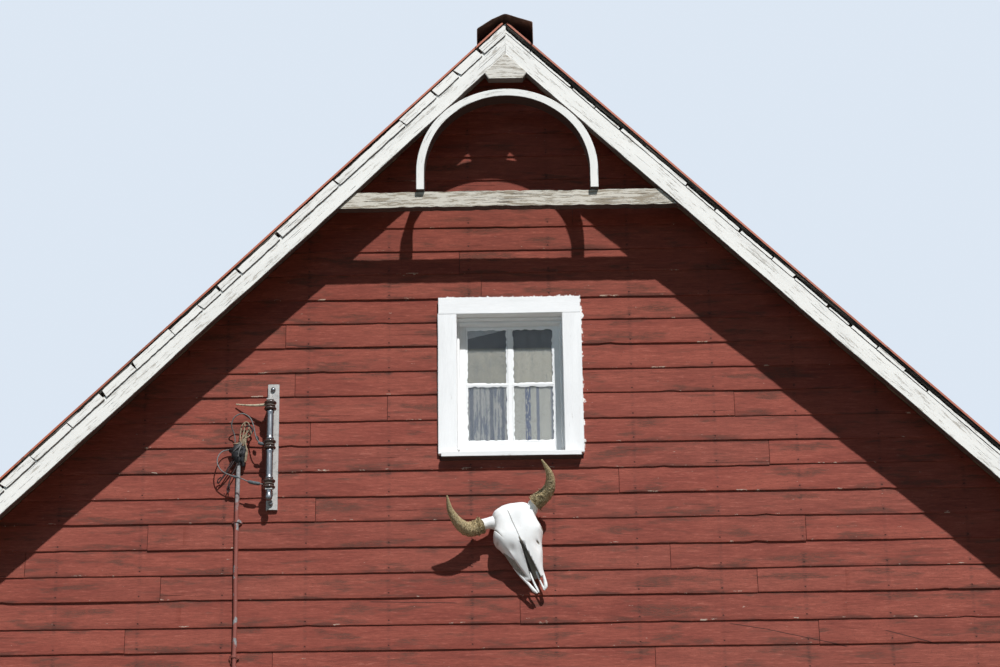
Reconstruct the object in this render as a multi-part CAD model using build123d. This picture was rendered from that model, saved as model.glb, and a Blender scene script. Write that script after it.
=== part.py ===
"""Weathered two-storey timber farmhouse with a decorated front gable.

Millimetres. The origin is at ground level under the middle of the house, the front gable
faces -Y and +Z is up. Each wall fitting is modelled on an upright wall plane, with x along
the wall, y into the house and z up from the ground, and is then placed on its wall.
"""

from build123d import *

import math
import os

# House shell
house_width = 6700.0
house_length = 9000.0
wall_thickness = 170.0
foundation_height = 420.0
foundation_thickness = 400.0
foundation_reach = 20.0
floor_thickness = 180.0
ground_ceiling = 2400.0
plate_height = 5485.0
attic_floor_drop = 65.0

# Roof
roof_pitch = 45.0
rafter_depth = 140.0
rafter_width = 45.0
rafter_spacing = 580.0
birdsmouth_seat = 75.0
ridge_board_thickness = 25.0
deck_thickness = 24.0
shingle_thickness = 18.0
sheet_thickness = 8.0
eaves_overhang = 350.0
fascia_thickness = 25.0
fascia_height = 165.0
blocking_thickness = 38.0
gable_overhang = 300.0
shingle_reach = 14.0
sheet_reach = 10.0
eaves_drip = 25.0

# Gable trim
barge_depth = 90.0
barge_thickness = 38.0
mitre_gap = 2.0
rake_thickness = 28.0
gable_beam_drop = 773.0
gable_beam_height = 89.0
gable_beam_thickness = 48.0
gable_beam_setback = 10.0
trim_thickness = 38.0
arch_radius = 460.0
arch_band = 42.0
arch_depth = 88.0
arch_reach = 20.0
arch_clearance = 13.0
peak_block_side = 154.0
peak_block_height = 145.0
peak_block_width = 174.0
peak_block_reach = 10.0

# Ridge cap of bent sheet metal
cap_gauge = 3.0
cap_wing = 145.0
cap_left_fall = 88.0
cap_right_fall = 46.0
cap_lift = 8.0
cap_reach = 30.0

# Casings, frames and sashes
casing_width = 91.0
casing_thickness = 35.0
jamb_thickness = 22.0
sill_thickness = 62.0
sill_edge = 38.0
sill_reach = 65.0
sill_inset = 0.0
sash_thickness = 35.0
sash_stile = 50.0
sash_top_rail = 50.0
sash_bottom_rail = 60.0
meeting_rail = 40.0
sash_gap = 2.0
sash_setback = 70.0
glass_thickness = 4.0
glass_recess = 15.5
corner_board_width = 115.0

# Attic window, its head measured down from the meeting of the barge boards
attic_head_drop = 1334.0
attic_window_width = 534.0
attic_window_height = 702.0
attic_sash_setback = 99.0
attic_glass_recess = 4.0
attic_stile = 45.0
attic_top_rail = 33.0
attic_bottom_rail = 54.0
attic_sill_thickness = 85.0
attic_sill_edge = 30.0
attic_sill_inset = 11.0
curtain_thickness = 12.0
curtain_clearance = 1.0
seat_clearance = 0.3

# Other windows and doors
window_width = 780.0
ground_window_height = 1400.0
upper_window_height = 1220.0
ground_sill_rise = 700.0
upper_head_gap = 180.0
front_window_offset = 2100.0
side_window_spacing = 2700.0
door_width = 900.0
door_height = 2100.0
door_setback = 60.0
door_thickness = 44.0
door_gap = 3.0
door_rail = 115.0
door_bottom_rail = 230.0
door_panel_recess = 12.0
knob_radius = 28.0
knob_neck_radius = 9.0
knob_reach = 56.0
knob_height = 950.0
threshold_thickness = 40.0

# Steps
step_width = 1500.0
step_tread = 280.0
step_count = 3

# Skull hung under the attic window
skull_x = 5.0
skull_poll_drop = 395.0
skull_tilt = 18.0
skull_length = 430.0
skull_width = 230.0
skull_stand = 18.0
bone_sections = (
    (0.06, 0.52, 0.40, 0.50),
    (-0.06, 0.86, 0.62, 0.62),
    (-0.28, 1.00, 0.62, 0.60),
    (-0.55, 0.56, 0.46, 0.46),
    (-0.82, 0.44, 0.32, 0.34),
    (-1.00, 0.40, 0.20, 0.26),
)
horn_line = ((111.0, 87.0, -10.0), (192.0, 132.0, -15.0), (264.0, 190.0, 30.0), (299.0, 250.0, 118.0))
horn_radius = 36.0
horn_taper = 0.86
horn_stations = (0.0, 0.25, 0.5, 0.75, 1.0)
peg_radius = 9.0
peg_length = 115.0
peg_drop = 43.0

# Service rack, insulators and cable
rack_x = -1195.0
rack_top_drop = 1708.0
rack_top_end = 104.0
rack_bottom_end = 75.0
rack_width = 58.0
rack_depth = 30.0
rack_gauge = 4.0
rod_stand = 95.0
rod_radius = 8.0
rod_knob_radius = 17.0
sleeve_radius = 14.0
arm_thickness = 6.0
arm_width = 40.0
spool_pitch = 207.0
spool_height = 72.0
spool_radius = 38.0
spool_waist = 25.0
spool_bore_clearance = 0.5
cable_offset = 159.0
cable_radius = 11.0
cable_stand = 30.0
cable_rise = 282.0
cable_foot = 1550.0
head_radius = 26.0
head_height = 74.0
head_outlet = 6.0
wire_diameter = 6.0

# Levels and slopes that follow from the sizes above
tangent = math.tan(math.radians(roof_pitch))
cosine = math.cos(math.radians(roof_pitch))
half_width = house_width / 2
half_length = house_length / 2
ground_level = foundation_height + floor_thickness
upper_level = ground_level + ground_ceiling + floor_thickness
attic_level = plate_height - attic_floor_drop

rafter_apex = plate_height - birdsmouth_seat * tangent + half_width * tangent
deck_apex = rafter_apex + rafter_depth / cosine
barge_apex = deck_apex - barge_depth / cosine
shingle_apex = deck_apex + deck_thickness / cosine
sheet_apex = shingle_apex + shingle_thickness / cosine
roof_apex = sheet_apex + sheet_thickness / cosine

barge_front = half_length + gable_overhang
barge_back = barge_front - barge_thickness
rake_front = barge_back + rake_thickness + barge_thickness / 2
fascia_outer = half_width + eaves_overhang + fascia_thickness

attic_sill_height = barge_apex - attic_head_drop - attic_window_height
rack_top = barge_apex - rack_top_drop
top_spool = rack_top - rack_top_end - spool_height / 2
rack_bottom = top_spool - 2 * spool_pitch - spool_height / 2 - rack_bottom_end
cable_x = rack_x - cable_offset
cable_top = rack_bottom + cable_rise

wall_places = {
    "front": Pos(0, -half_length, 0),
    "back": Pos(0, half_length, 0) * Rot(0, 0, 180),
    "left": Pos(-half_width, 0, 0) * Rot(0, 0, -90),
    "right": Pos(half_width, 0, 0) * Rot(0, 0, 90),
}


plain_sill = (sill_thickness, sill_edge, sill_inset)
attic_sill = (attic_sill_thickness, attic_sill_edge, attic_sill_inset)


class Opening:
    """A window or door opening on its wall plane, between the jambs, with its sill's sizes."""

    def __init__(self, x, bottom, width, height, is_door=False, sill_sizes=plain_sill):
        self.x = x
        self.bottom = bottom
        self.width = width
        self.height = height
        self.is_door = is_door
        self.sill_thickness, self.sill_edge, self.sill_inset = sill_sizes

    @property
    def left(self):
        return self.x - self.width / 2

    @property
    def right(self):
        return self.x + self.width / 2

    @property
    def top(self):
        return self.bottom + self.height


def block(x0, x1, y0, y1, z0, z1):
    """A plain box between two corners."""
    middle = Pos((x0 + x1) / 2, (y0 + y1) / 2, (z0 + z1) / 2)
    return middle * Box(x1 - x0, y1 - y0, z1 - z0)


def along_y(points, y0, y1):
    """A prism with an outline in x and z, from y0 back to y1."""
    plane = Plane(origin=(0, y1, 0), x_dir=(1, 0, 0), z_dir=(0, -1, 0))
    outline = make_face(Polyline(*points, close=True))
    return extrude(plane * outline, y1 - y0)


def along_x(points, x0, x1):
    """A prism with an outline in y and z, from x0 across to x1."""
    plane = Plane(origin=(x0, 0, 0), x_dir=(0, 1, 0), z_dir=(1, 0, 0))
    outline = make_face(Polyline(*points, close=True))
    return extrude(plane * outline, x1 - x0)


def mirrored(points, side):
    """Points of the right-hand side, or their mirror image for side -1."""
    return [(side * x, z) for x, z in points]


# Openings of each wall

attic_opening = Opening(0, attic_sill_height, attic_window_width, attic_window_height,
                        sill_sizes=attic_sill)


def door_opening():
    return Opening(0, ground_level, door_width, door_height, is_door=True)


def windows_at(places):
    """One ground-floor and one upper window at each place along a wall."""
    found = []
    for place in places:
        sill = ground_level + ground_sill_rise
        found.append(Opening(place, sill, window_width, ground_window_height))
        head = attic_level - floor_thickness - upper_head_gap
        sill = head - upper_window_height
        found.append(Opening(place, sill, window_width, upper_window_height))
    return found


gable_places = (-front_window_offset, front_window_offset)
side_places = (-side_window_spacing, 0, side_window_spacing)
wall_windows = {
    "front": windows_at(gable_places),
    "back": windows_at(gable_places),
    "left": windows_at(side_places),
    "right": windows_at(side_places),
}


def all_openings(wall):
    """Every opening that is cut through a wall."""
    found = list(wall_windows[wall])
    if wall in ("front", "back"):
        found.append(door_opening())
        found.append(attic_opening)
    return found


# Foundation, floors and walls

def foundation():
    outer = block(
        -half_width - foundation_reach, half_width + foundation_reach,
        -half_length - foundation_reach, half_length + foundation_reach,
        0, foundation_height,
    )
    inset = foundation_thickness - foundation_reach
    inner = block(
        -half_width + inset, half_width - inset,
        -half_length + inset, half_length - inset,
        0, foundation_height,
    )
    return outer - inner


def floor_slab(top):
    """A floor of joists and boards between the inner faces of the walls."""
    x = half_width - wall_thickness
    y = half_length - wall_thickness
    return block(-x, x, -y, y, top - floor_thickness, top)


def rough_opening(opening):
    """The hole in a wall that takes a frame and its sill or threshold."""
    footing = threshold_thickness if opening.is_door else opening.sill_thickness
    return block(
        opening.left - jamb_thickness, opening.right + jamb_thickness,
        0, wall_thickness,
        opening.bottom - footing, opening.top + jamb_thickness,
    )


def gable_wall(wall):
    """An end wall that runs up to the underside of the roof deck."""
    shoulder = deck_apex - half_width * tangent
    outline = [
        (-half_width, foundation_height),
        (half_width, foundation_height),
        (half_width, shoulder),
        (0, deck_apex),
        (-half_width, shoulder),
    ]
    solid = along_y(outline, 0, wall_thickness)
    for opening in all_openings(wall):
        solid -= rough_opening(opening)
    return wall_places[wall] * solid


def side_wall(wall):
    """A long wall between the end walls, level with the plate on top."""
    reach = half_length - wall_thickness
    solid = block(-reach, reach, 0, wall_thickness, foundation_height, plate_height)
    for opening in all_openings(wall):
        solid -= rough_opening(opening)
    return wall_places[wall] * solid


# Roof

def rafter_places():
    """The middle of each rafter along the house, the end ones against the end walls."""
    reach = half_length - wall_thickness - rafter_width / 2
    spaces = max(1, round(2 * reach / rafter_spacing))
    return [-reach + 2 * reach * index / spaces for index in range(spaces + 1)]


def rafter_outline():
    """A right-hand rafter with its plumb cuts and the notch over the wall plate."""
    tail = half_width + eaves_overhang
    head = ridge_board_thickness / 2
    seat = half_width - birdsmouth_seat
    return [
        (head, rafter_apex - head * tangent),
        (seat, plate_height),
        (half_width, plate_height),
        (half_width, rafter_apex - half_width * tangent),
        (tail, rafter_apex - tail * tangent),
        (tail, deck_apex - tail * tangent),
        (head, deck_apex - head * tangent),
    ]


def rafters(side):
    outline = mirrored(rafter_outline(), side)
    half = rafter_width / 2
    return Compound([along_y(outline, y - half, y + half) for y in rafter_places()])


def ridge_board():
    half = ridge_board_thickness / 2
    reach = half_length - wall_thickness
    low = rafter_apex - half * tangent
    high = deck_apex - half * tangent
    outline = [(-half, low), (half, low), (half, high), (0, deck_apex), (-half, high)]
    return along_y(outline, -reach, reach)


def roof_layer(side, apex, thickness, eaves_end, gable_end):
    """One slope of a roof layer, plumb at the ridge and square at the eaves."""
    rise = thickness * cosine
    run = thickness * math.sin(math.radians(roof_pitch))
    low = apex - eaves_end * tangent
    outline = [
        (0, apex),
        (eaves_end, low),
        (eaves_end + run, low + rise),
        (0, apex + thickness / cosine),
    ]
    return along_y(mirrored(outline, side), -gable_end, gable_end)


def roof_deck(side):
    return roof_layer(side, deck_apex, deck_thickness, fascia_outer, barge_back)


def old_shingles(side):
    end = fascia_outer + eaves_drip
    return roof_layer(side, shingle_apex, shingle_thickness, end, rake_front + shingle_reach)


def roof_sheets(side):
    end = fascia_outer + 2 * eaves_drip
    reach = rake_front + shingle_reach + sheet_reach
    return roof_layer(side, sheet_apex, sheet_thickness, end, reach)


def fascia(side):
    inner = fascia_outer - fascia_thickness
    bottom = deck_apex - inner * tangent - fascia_height
    outline = [
        (inner, bottom),
        (fascia_outer, bottom),
        (fascia_outer, deck_apex - fascia_outer * tangent),
        (inner, deck_apex - inner * tangent),
    ]
    return along_y(mirrored(outline, side), -barge_back, barge_back)


def eaves_fascias():
    return Compound([fascia(-1), fascia(1)])


def eaves_blocking():
    """Boards between the rafters that close the wall up to the deck."""
    inner = half_width - blocking_thickness
    outline = [
        (inner, plate_height),
        (half_width, plate_height),
        (half_width, deck_apex - half_width * tangent),
        (inner, deck_apex - inner * tangent),
    ]
    places = rafter_places()
    half = rafter_width / 2
    blocks = []
    for side in (-1, 1):
        for first, second in zip(places, places[1:]):
            blocks.append(along_y(mirrored(outline, side), first + half, second - half))
    return Compound(blocks)


def ridge_cap():
    """A bent cap that stands on the roofing along two hems, one wing bent up."""
    crown = roof_apex + cap_lift
    hem = cap_wing - cap_gauge
    outline = [
        (0, crown),
        (cap_wing, crown - cap_right_fall),
        (cap_wing, roof_apex - cap_wing * tangent),
        (hem, roof_apex - hem * tangent),
        (hem, crown - cap_right_fall - cap_gauge),
        (0, crown - cap_gauge),
        (-hem, crown - cap_left_fall - cap_gauge),
        (-hem, roof_apex - hem * tangent),
        (-cap_wing, roof_apex - cap_wing * tangent),
        (-cap_wing, crown - cap_left_fall),
    ]
    reach = rake_front + shingle_reach + sheet_reach + cap_reach
    return along_y(outline, -reach, reach)


# Gable trim

def barge_board(side):
    edge = mitre_gap / 2
    outline = [
        (edge, barge_apex - edge * tangent),
        (fascia_outer, barge_apex - fascia_outer * tangent),
        (fascia_outer, deck_apex - fascia_outer * tangent),
        (edge, deck_apex - edge * tangent),
    ]
    return along_y(mirrored(outline, side), -barge_front, -barge_back)


def barge_boards():
    return Compound([barge_board(-1), barge_board(1)])


def rake_strip(side):
    """The strip over a barge board that covers the edge of the deck."""
    edge = mitre_gap / 2
    run = deck_thickness * math.sin(math.radians(roof_pitch))
    rise = deck_thickness * cosine
    low = deck_apex - fascia_outer * tangent
    outline = [
        (edge, deck_apex - edge * tangent),
        (fascia_outer, low),
        (fascia_outer + run, low + rise),
        (edge, shingle_apex - edge * tangent),
    ]
    return along_y(mirrored(outline, side), -rake_front, -barge_back)


def rake_strips():
    return Compound([rake_strip(-1), rake_strip(1)])


def turned_to_back(shape):
    return Rot(0, 0, 180) * shape


def gable_beam():
    """The tie beam across the gable, mitred against the barge boards."""
    top = barge_apex - gable_beam_drop
    bottom = top - gable_beam_height
    half_top = gable_beam_drop / tangent
    half_bottom = (gable_beam_drop + gable_beam_height) / tangent
    outline = [(-half_bottom, bottom), (half_bottom, bottom), (half_top, top), (-half_top, top)]
    front = gable_beam_setback - barge_front
    return along_y(outline, front, front + gable_beam_thickness)


def gable_arch():
    """A deep round arch that stands on the tie beam, a little clear of the barge boards."""
    foot = barge_apex - gable_beam_drop
    centre = barge_apex - (arch_radius + arch_clearance) / cosine
    inner = arch_radius - arch_band

    def bow(radius):
        outline = Polyline((-radius, centre), (-radius, foot), (radius, foot), (radius, centre))
        outline += ThreePointArc((radius, centre), (0, centre + radius), (-radius, centre))
        front = (0, -barge_front - arch_reach, 0)
        plane = Plane(origin=front, x_dir=(1, 0, 0), z_dir=(0, -1, 0))
        return extrude(plane * make_face(outline), -arch_depth)

    return bow(arch_radius) - bow(inner)


def peak_block():
    """The block under the meeting of the barge boards, with chamfered lower corners."""
    reach = peak_block_side * cosine
    outline = [
        (0, barge_apex),
        (reach, barge_apex - reach * tangent),
        (peak_block_width / 2, barge_apex - peak_block_height),
        (-peak_block_width / 2, barge_apex - peak_block_height),
        (-reach, barge_apex - reach * tangent),
    ]
    return along_y(outline, -barge_front - peak_block_reach, -barge_front + trim_thickness)


def corner_board(x_side, y_side):
    """Two boards that meet at a corner of the house, cut off under the roof deck."""
    x = half_width + casing_thickness
    y = half_length + casing_thickness
    top = deck_apex - half_width * tangent
    outer = block(half_width - corner_board_width, x, half_length - corner_board_width, y,
                  foundation_height, top)
    outer -= block(0, half_width, 0, half_length, foundation_height, top)
    above = [(0, deck_apex), (x + casing_thickness, deck_apex - (x + casing_thickness) * tangent),
             (x + casing_thickness, deck_apex)]
    solid = outer - along_y(above, 0, y + casing_thickness)
    if x_side < 0:
        solid = mirror(solid, Plane.YZ)
    if y_side < 0:
        solid = mirror(solid, Plane.XZ)
    return solid


def corner_boards():
    return Compound([corner_board(x, y) for x in (-1, 1) for y in (-1, 1)])


# Windows

def sill(opening):
    """A sill with horns under the side casings and a sloped top inside the frame."""
    bottom = opening.bottom - opening.sill_thickness
    edge = bottom + opening.sill_edge
    reach = casing_width - opening.sill_inset
    inside = [
        (0, bottom),
        (wall_thickness, bottom),
        (wall_thickness, opening.bottom),
        (sash_setback, opening.bottom),
        (0, edge),
    ]
    outside = block(opening.left - reach, opening.right + reach, -sill_reach, 0, bottom, edge)
    return outside + along_x(inside, opening.left - jamb_thickness, opening.right + jamb_thickness)


def jambs(opening, bottom):
    """Side and head linings of an opening, as deep as the wall."""
    outer = block(
        opening.left - jamb_thickness, opening.right + jamb_thickness,
        0, wall_thickness, bottom, opening.top + jamb_thickness,
    )
    return outer - block(opening.left, opening.right, 0, wall_thickness, bottom, opening.top)


def window_frame(opening):
    return sill(opening) + jambs(opening, opening.bottom)


def casing(opening, foot):
    """Side casings under a full-width head casing, on the face of the wall."""
    outer = block(
        opening.left - casing_width, opening.right + casing_width,
        -casing_thickness, 0, foot, opening.top + casing_width,
    )
    return outer - block(opening.left, opening.right, -casing_thickness, 0, foot, opening.top)


def window_casing(opening):
    return casing(opening, opening.bottom - opening.sill_thickness + opening.sill_edge)


def door_casing(opening):
    """Casing, linings and threshold of a door."""
    bottom = opening.bottom - threshold_thickness
    threshold = block(opening.left - jamb_thickness, opening.right + jamb_thickness,
                      -casing_thickness, wall_thickness, bottom, opening.bottom)
    return casing(opening, opening.bottom) + jambs(opening, opening.bottom) + threshold


def casings(wall):
    """The trim of every window and door of a wall, but not of the front attic window."""
    pieces = [window_frame(o) + window_casing(o) for o in wall_windows[wall]]
    if wall in ("front", "back"):
        pieces.append(door_casing(door_opening()))
    if wall == "back":
        pieces.append(window_frame(attic_opening) + window_casing(attic_opening))
    return wall_places[wall] * Compound(pieces)


def sash(left, right, bottom, top, setback, low_rail, high_rail, stile=sash_stile):
    """The stiles and rails of one sash."""
    frame = block(left, right, setback, setback + sash_thickness, bottom, top)
    light = block(left + stile, right - stile, setback, setback + sash_thickness,
                  bottom + low_rail, top - high_rail)
    return frame - light


def pane(left, right, bottom, top, setback, low_rail, high_rail, stile=sash_stile,
         recess=glass_recess):
    """The glass of one sash, from rebate to rebate, behind its front face."""
    front = setback + recess
    return block(left + stile, right - stile, front, front + glass_thickness,
                 bottom + low_rail, top - high_rail)


def sash_pair(opening, make):
    """The outer upper and inner lower sash of a sliding window, or their panes."""
    middle = opening.bottom + opening.height / 2
    half = meeting_rail / 2
    inner = sash_setback + sash_thickness + sash_gap
    upper = make(opening.left, opening.right, middle - half, opening.top,
                 sash_setback, meeting_rail, sash_top_rail)
    lower = make(opening.left, opening.right, opening.bottom, middle + half,
                 inner, sash_bottom_rail, meeting_rail)
    return [upper, lower]


def attic_sash(make, **sizes):
    return make(attic_opening.left, attic_opening.right, attic_opening.bottom,
                attic_opening.top, attic_sash_setback, attic_bottom_rail, attic_top_rail,
                stile=attic_stile, **sizes)


def attic_pane():
    return attic_sash(pane, recess=attic_glass_recess)


def sashes(wall, make):
    pieces = []
    for opening in wall_windows[wall]:
        pieces += sash_pair(opening, make)
    if wall == "back":
        pieces.append(attic_pane() if make is pane else attic_sash(make))
    return wall_places[wall] * Compound(pieces)


def attic_curtain():
    """The cloth that hangs from the top rail inside the attic sash, right behind its glass."""
    front = attic_sash_setback + attic_glass_recess + glass_thickness + seat_clearance
    side = attic_stile + curtain_clearance
    cloth = block(
        attic_opening.left + side, attic_opening.right - side,
        front, front + curtain_thickness,
        attic_opening.bottom + attic_bottom_rail + curtain_clearance,
        attic_opening.top - attic_top_rail - seat_clearance,
    )
    return wall_places["front"] * cloth


# Doors and steps

def door_panels(opening):
    """The recesses of four panels, two tall over two short, on both faces."""
    lock = opening.bottom + knob_height
    middle = door_rail / 2
    recesses = []
    for low, high in (
        (opening.bottom + door_bottom_rail, lock - door_rail),
        (lock + middle, opening.top - door_rail),
    ):
        for left, right in (
            (opening.left + door_rail, -middle),
            (middle, opening.right - door_rail),
        ):
            for face in (door_setback, door_setback + door_thickness - door_panel_recess):
                recesses.append(block(left, right, face, face + door_panel_recess, low, high))
    return recesses


def door(wall):
    """A panelled door, closed, with a knob on each face."""
    opening = door_opening()
    leaf = block(
        opening.left + door_gap, opening.right - door_gap,
        door_setback, door_setback + door_thickness,
        opening.bottom, opening.top - door_gap,
    )
    for recess in door_panels(opening):
        leaf -= recess
    place = Pos(opening.right - door_rail / 2, door_setback, opening.bottom + knob_height)
    neck = place * Rot(90, 0, 0) * Cylinder(
        knob_neck_radius, knob_reach, align=(Align.CENTER, Align.CENTER, Align.MIN))
    knob = place * Pos(0, -knob_reach, 0) * Sphere(knob_radius)
    return wall_places[wall] * (leaf + neck + knob)


def steps(wall):
    """Three masonry steps up to the threshold."""
    rise = ground_level / (step_count + 1)
    start = -foundation_reach
    outline = [(start, 0), (start - step_count * step_tread, 0)]
    for index in range(step_count):
        face = start - (step_count - index) * step_tread
        top = (index + 1) * rise
        outline.append((face, top))
        outline.append((face + step_tread, top))
    flight = along_x(outline, -step_width / 2, step_width / 2)
    return wall_places[wall] * flight


# Skull

def skull_place():
    """The skull's own axes: origin at the poll, z up its length, y into the wall."""
    height = attic_sill_height - skull_poll_drop
    return Pos(skull_x, -half_length, height) * Rot(0, -skull_tilt, 0)


def bone():
    """Bone from the poll down to the muzzle, in one smooth skin, on its own axes.

    Each section gives its place as a share of the length, then its width, its depth and how far
    its middle stands out, as shares of the width.
    """
    rings = []
    for along, width, depth, out in bone_sections:
        centre = (0, -out * skull_width / 2 - skull_stand, along * skull_length)
        plane = Plane(origin=centre, x_dir=(1, 0, 0), z_dir=(0, 0, 1))
        rings.append(plane * Ellipse(width * skull_width / 2, depth * skull_width / 2))
    return loft(rings)


def horn(side):
    """A tapering horn that curves out of the poll and up, through points (across, out, up)."""
    line = Spline(*[(side * across, -out, up) for across, out, up in horn_line])
    rings = []
    for share in horn_stations:
        rings.append(Plane(line ^ share) * Circle(horn_radius * (1 - share * horn_taper)))
    return loft(rings)


def skull():
    """The bone with its two horns and the peg that holds it on the wall."""
    peg = Pos(0, 0, -peg_drop) * Rot(90, 0, 0) * Cylinder(
        peg_radius, peg_length, align=(Align.CENTER, Align.CENTER, Align.MIN))
    return skull_place() * (bone() + horn(-1) + horn(1) + peg)


# Service rack and cable

def rack():
    """A steel channel on the wall with two arms that hold the spool rod."""
    half = rack_width / 2
    channel = block(-half, half, -rack_depth, 0, rack_bottom, rack_top)
    channel -= block(-half + rack_gauge, half - rack_gauge, -rack_depth, -rack_gauge,
                     rack_bottom, rack_top)
    upper = top_spool + spool_height / 2
    lower = top_spool - 2 * spool_pitch - spool_height / 2 - arm_thickness
    reach = -rod_stand - arm_width / 2
    arm_half = arm_width / 2
    for level in (upper, lower):
        channel += block(-arm_half, arm_half, reach, -rack_gauge / 2, level, level + arm_thickness)
    rod_low = lower - 2 * rod_knob_radius
    rod_high = upper + 2 * arm_thickness
    place = Pos(0, -rod_stand, 0)
    channel += place * Pos(0, 0, rod_low) * Cylinder(
        rod_radius, rod_high - rod_low, align=(Align.CENTER, Align.CENTER, Align.MIN))
    channel += place * Pos(0, 0, rod_low) * Cylinder(
        rod_knob_radius, rod_knob_radius, align=(Align.CENTER, Align.CENTER, Align.MIN))
    for index in (0, 1):
        low = top_spool - (index + 1) * spool_pitch + spool_height / 2
        channel += place * Pos(0, 0, low) * Cylinder(
            sleeve_radius, spool_pitch - spool_height,
            align=(Align.CENTER, Align.CENTER, Align.MIN))
    return wall_places["front"] * Pos(rack_x, 0, 0) * channel


def spool():
    """A grooved insulator, turned about its bore."""
    half = spool_height / 2
    bore = rod_radius + spool_bore_clearance
    shoulder = spool_radius * 0.8
    profile = Polyline((bore, -half), (shoulder, -half), (spool_radius, -half * 0.7),
                       (spool_radius, -half * 0.5))
    profile += ThreePointArc((spool_radius, -half * 0.5), (spool_waist, 0),
                             (spool_radius, half * 0.5))
    profile += Polyline((spool_radius, half * 0.5), (spool_radius, half * 0.7),
                        (shoulder, half), (bore, half), (bore, -half))
    return revolve(Plane.XZ * make_face(profile), Axis.Z)


def rack_insulators():
    spools = []
    for index in range(3):
        level = top_spool - index * spool_pitch
        spools.append(Pos(rack_x, -rod_stand, level) * spool())
    return wall_places["front"] * Compound(spools)


def service_cable():
    """The cable down the wall, with an elbow into the wall low down."""
    foot = cable_foot
    path = FilletPolyline(
        (cable_x, -cable_stand, cable_top),
        (cable_x, -cable_stand, foot),
        (cable_x, 0, foot),
        radius=cable_stand * 0.8,
    )
    start = Plane(origin=path @ 0, z_dir=path % 0)
    tube = sweep(start * Circle(cable_radius), path=path)
    return wall_places["front"] * tube


def service_head():
    """A small head on the top of the cable, with a flat outlet and a foot on the wall."""
    low = cable_top + head_height / 4
    high = cable_top + 3 * head_height / 4
    body = Pos(cable_x, -cable_stand, cable_top) * Cylinder(
        head_radius, head_height, align=(Align.CENTER, Align.CENTER, Align.MIN))
    foot = block(cable_x - head_radius / 2, cable_x + head_radius / 2, -cable_stand, 0, low, high)
    outlet = block(cable_x - head_radius - head_outlet, cable_x,
                   -cable_stand - head_radius / 2, -cable_stand + head_radius / 2, low, high)
    return wall_places["front"] * (body + foot + outlet)


def wire(name, points):
    """A bent wire along a hand-set route from the cable's top, its bends as wide as they can be."""
    corners = [Vector(cable_x, 0, cable_top) + Vector(*point) for point in points]
    radii = []
    for before, here, after in zip(corners, corners[1:], corners[2:]):
        turn = (here - before).get_angle(after - here)
        run = min((here - before).length, (after - here).length)
        radii.append(0.45 * run / math.tan(math.radians(turn / 2)))
    path = FilletPolyline(*corners, radius=radii)
    start = Plane(origin=path @ 0, z_dir=path % 0)
    tube = sweep(start * Circle(wire_diameter / 2), path=path)
    share = tube.volume / (math.pi * wire_diameter ** 2 / 4 * path.length)
    print(name, "length", round(path.length), "radii", [round(r) for r in radii],
          "volume share", round(share, 3))
    return wall_places["front"] * tube


def upper_service_wire():
    """From the side of the head, up and over to the middle insulator."""
    return wire("upper_service_wire", [
        (-18, -34, 74),
        (-18, -34, 112),
        (-38, -62, 148),
        (-26, -80, 190),
        (16, -88, 212),
        (58, -92, 190),
        (78, -95, 142),
        (86, -96, 90),
        (102, -95, 50),
        (132, -95, 38),
    ])


def lower_service_wire():
    """From the head, out in a drip loop and back to the lowest insulator."""
    return wire("lower_service_wire", [
        (-32, -34, 36),
        (-74, -34, 36),
        (-98, -62, -4),
        (-102, -84, -50),
        (-82, -92, -94),
        (-40, -96, -120),
        (12, -96, -134),
        (67, -96, -162),
        (132, -95, -171),
    ])


def export(name, shape):
    export_step(shape, f"parts/{name}.step")


def main():
    os.makedirs("parts", exist_ok=True)
    export("foundation", foundation())
    export("ground_floor", floor_slab(ground_level))
    export("upper_floor", floor_slab(upper_level))
    export("attic_floor", floor_slab(attic_level))
    export("front_wall", gable_wall("front"))
    export("back_wall", gable_wall("back"))
    export("left_wall", side_wall("left"))
    export("right_wall", side_wall("right"))
    for name, side in (("left", -1), ("right", 1)):
        export(f"{name}_rafters", rafters(side))
        export(f"{name}_roof_deck", roof_deck(side))
        export(f"{name}_old_shingles", old_shingles(side))
        export(f"{name}_roof_sheets", roof_sheets(side))
    export("ridge_board", ridge_board())
    export("ridge_cap", ridge_cap())
    export("eaves_fascias", eaves_fascias())
    export("eaves_blocking", eaves_blocking())
    export("front_barge_boards", barge_boards())
    export("back_barge_boards", turned_to_back(barge_boards()))
    export("front_rake_strips", rake_strips())
    export("back_rake_strips", turned_to_back(rake_strips()))
    export("gable_beam", gable_beam())
    export("gable_arch", gable_arch())
    export("peak_block", peak_block())
    export("corner_boards", corner_boards())
    front = wall_places["front"]
    export("attic_window_frame", front * window_frame(attic_opening))
    export("attic_window_casing", front * window_casing(attic_opening))
    export("attic_window_sash", front * attic_sash(sash))
    export("attic_window_glass", front * attic_pane())
    export("attic_window_curtain", attic_curtain())
    for wall in wall_places:
        export(f"{wall}_casings", casings(wall))
        export(f"{wall}_sashes", sashes(wall, sash))
        export(f"{wall}_window_glass", sashes(wall, pane))
    for wall in ("front", "back"):
        export(f"{wall}_door", door(wall))
        export(f"{wall}_steps", steps(wall))
    export("skull", skull())
    export("service_rack", rack())
    export("rack_insulators", rack_insulators())
    export("service_cable", service_cable())
    export("service_head", service_head())
    export("upper_service_wire", upper_service_wire())
    export("lower_service_wire", lower_service_wire())


main()
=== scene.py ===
"""Looks of the weathered farmhouse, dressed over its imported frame.

Metres, in the frame's own axes: the front gable faces -Y, +Z is up and the ground is z = 0.
"""
import math

import bpy
import numpy as np
from mathutils import Matrix, Vector


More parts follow.
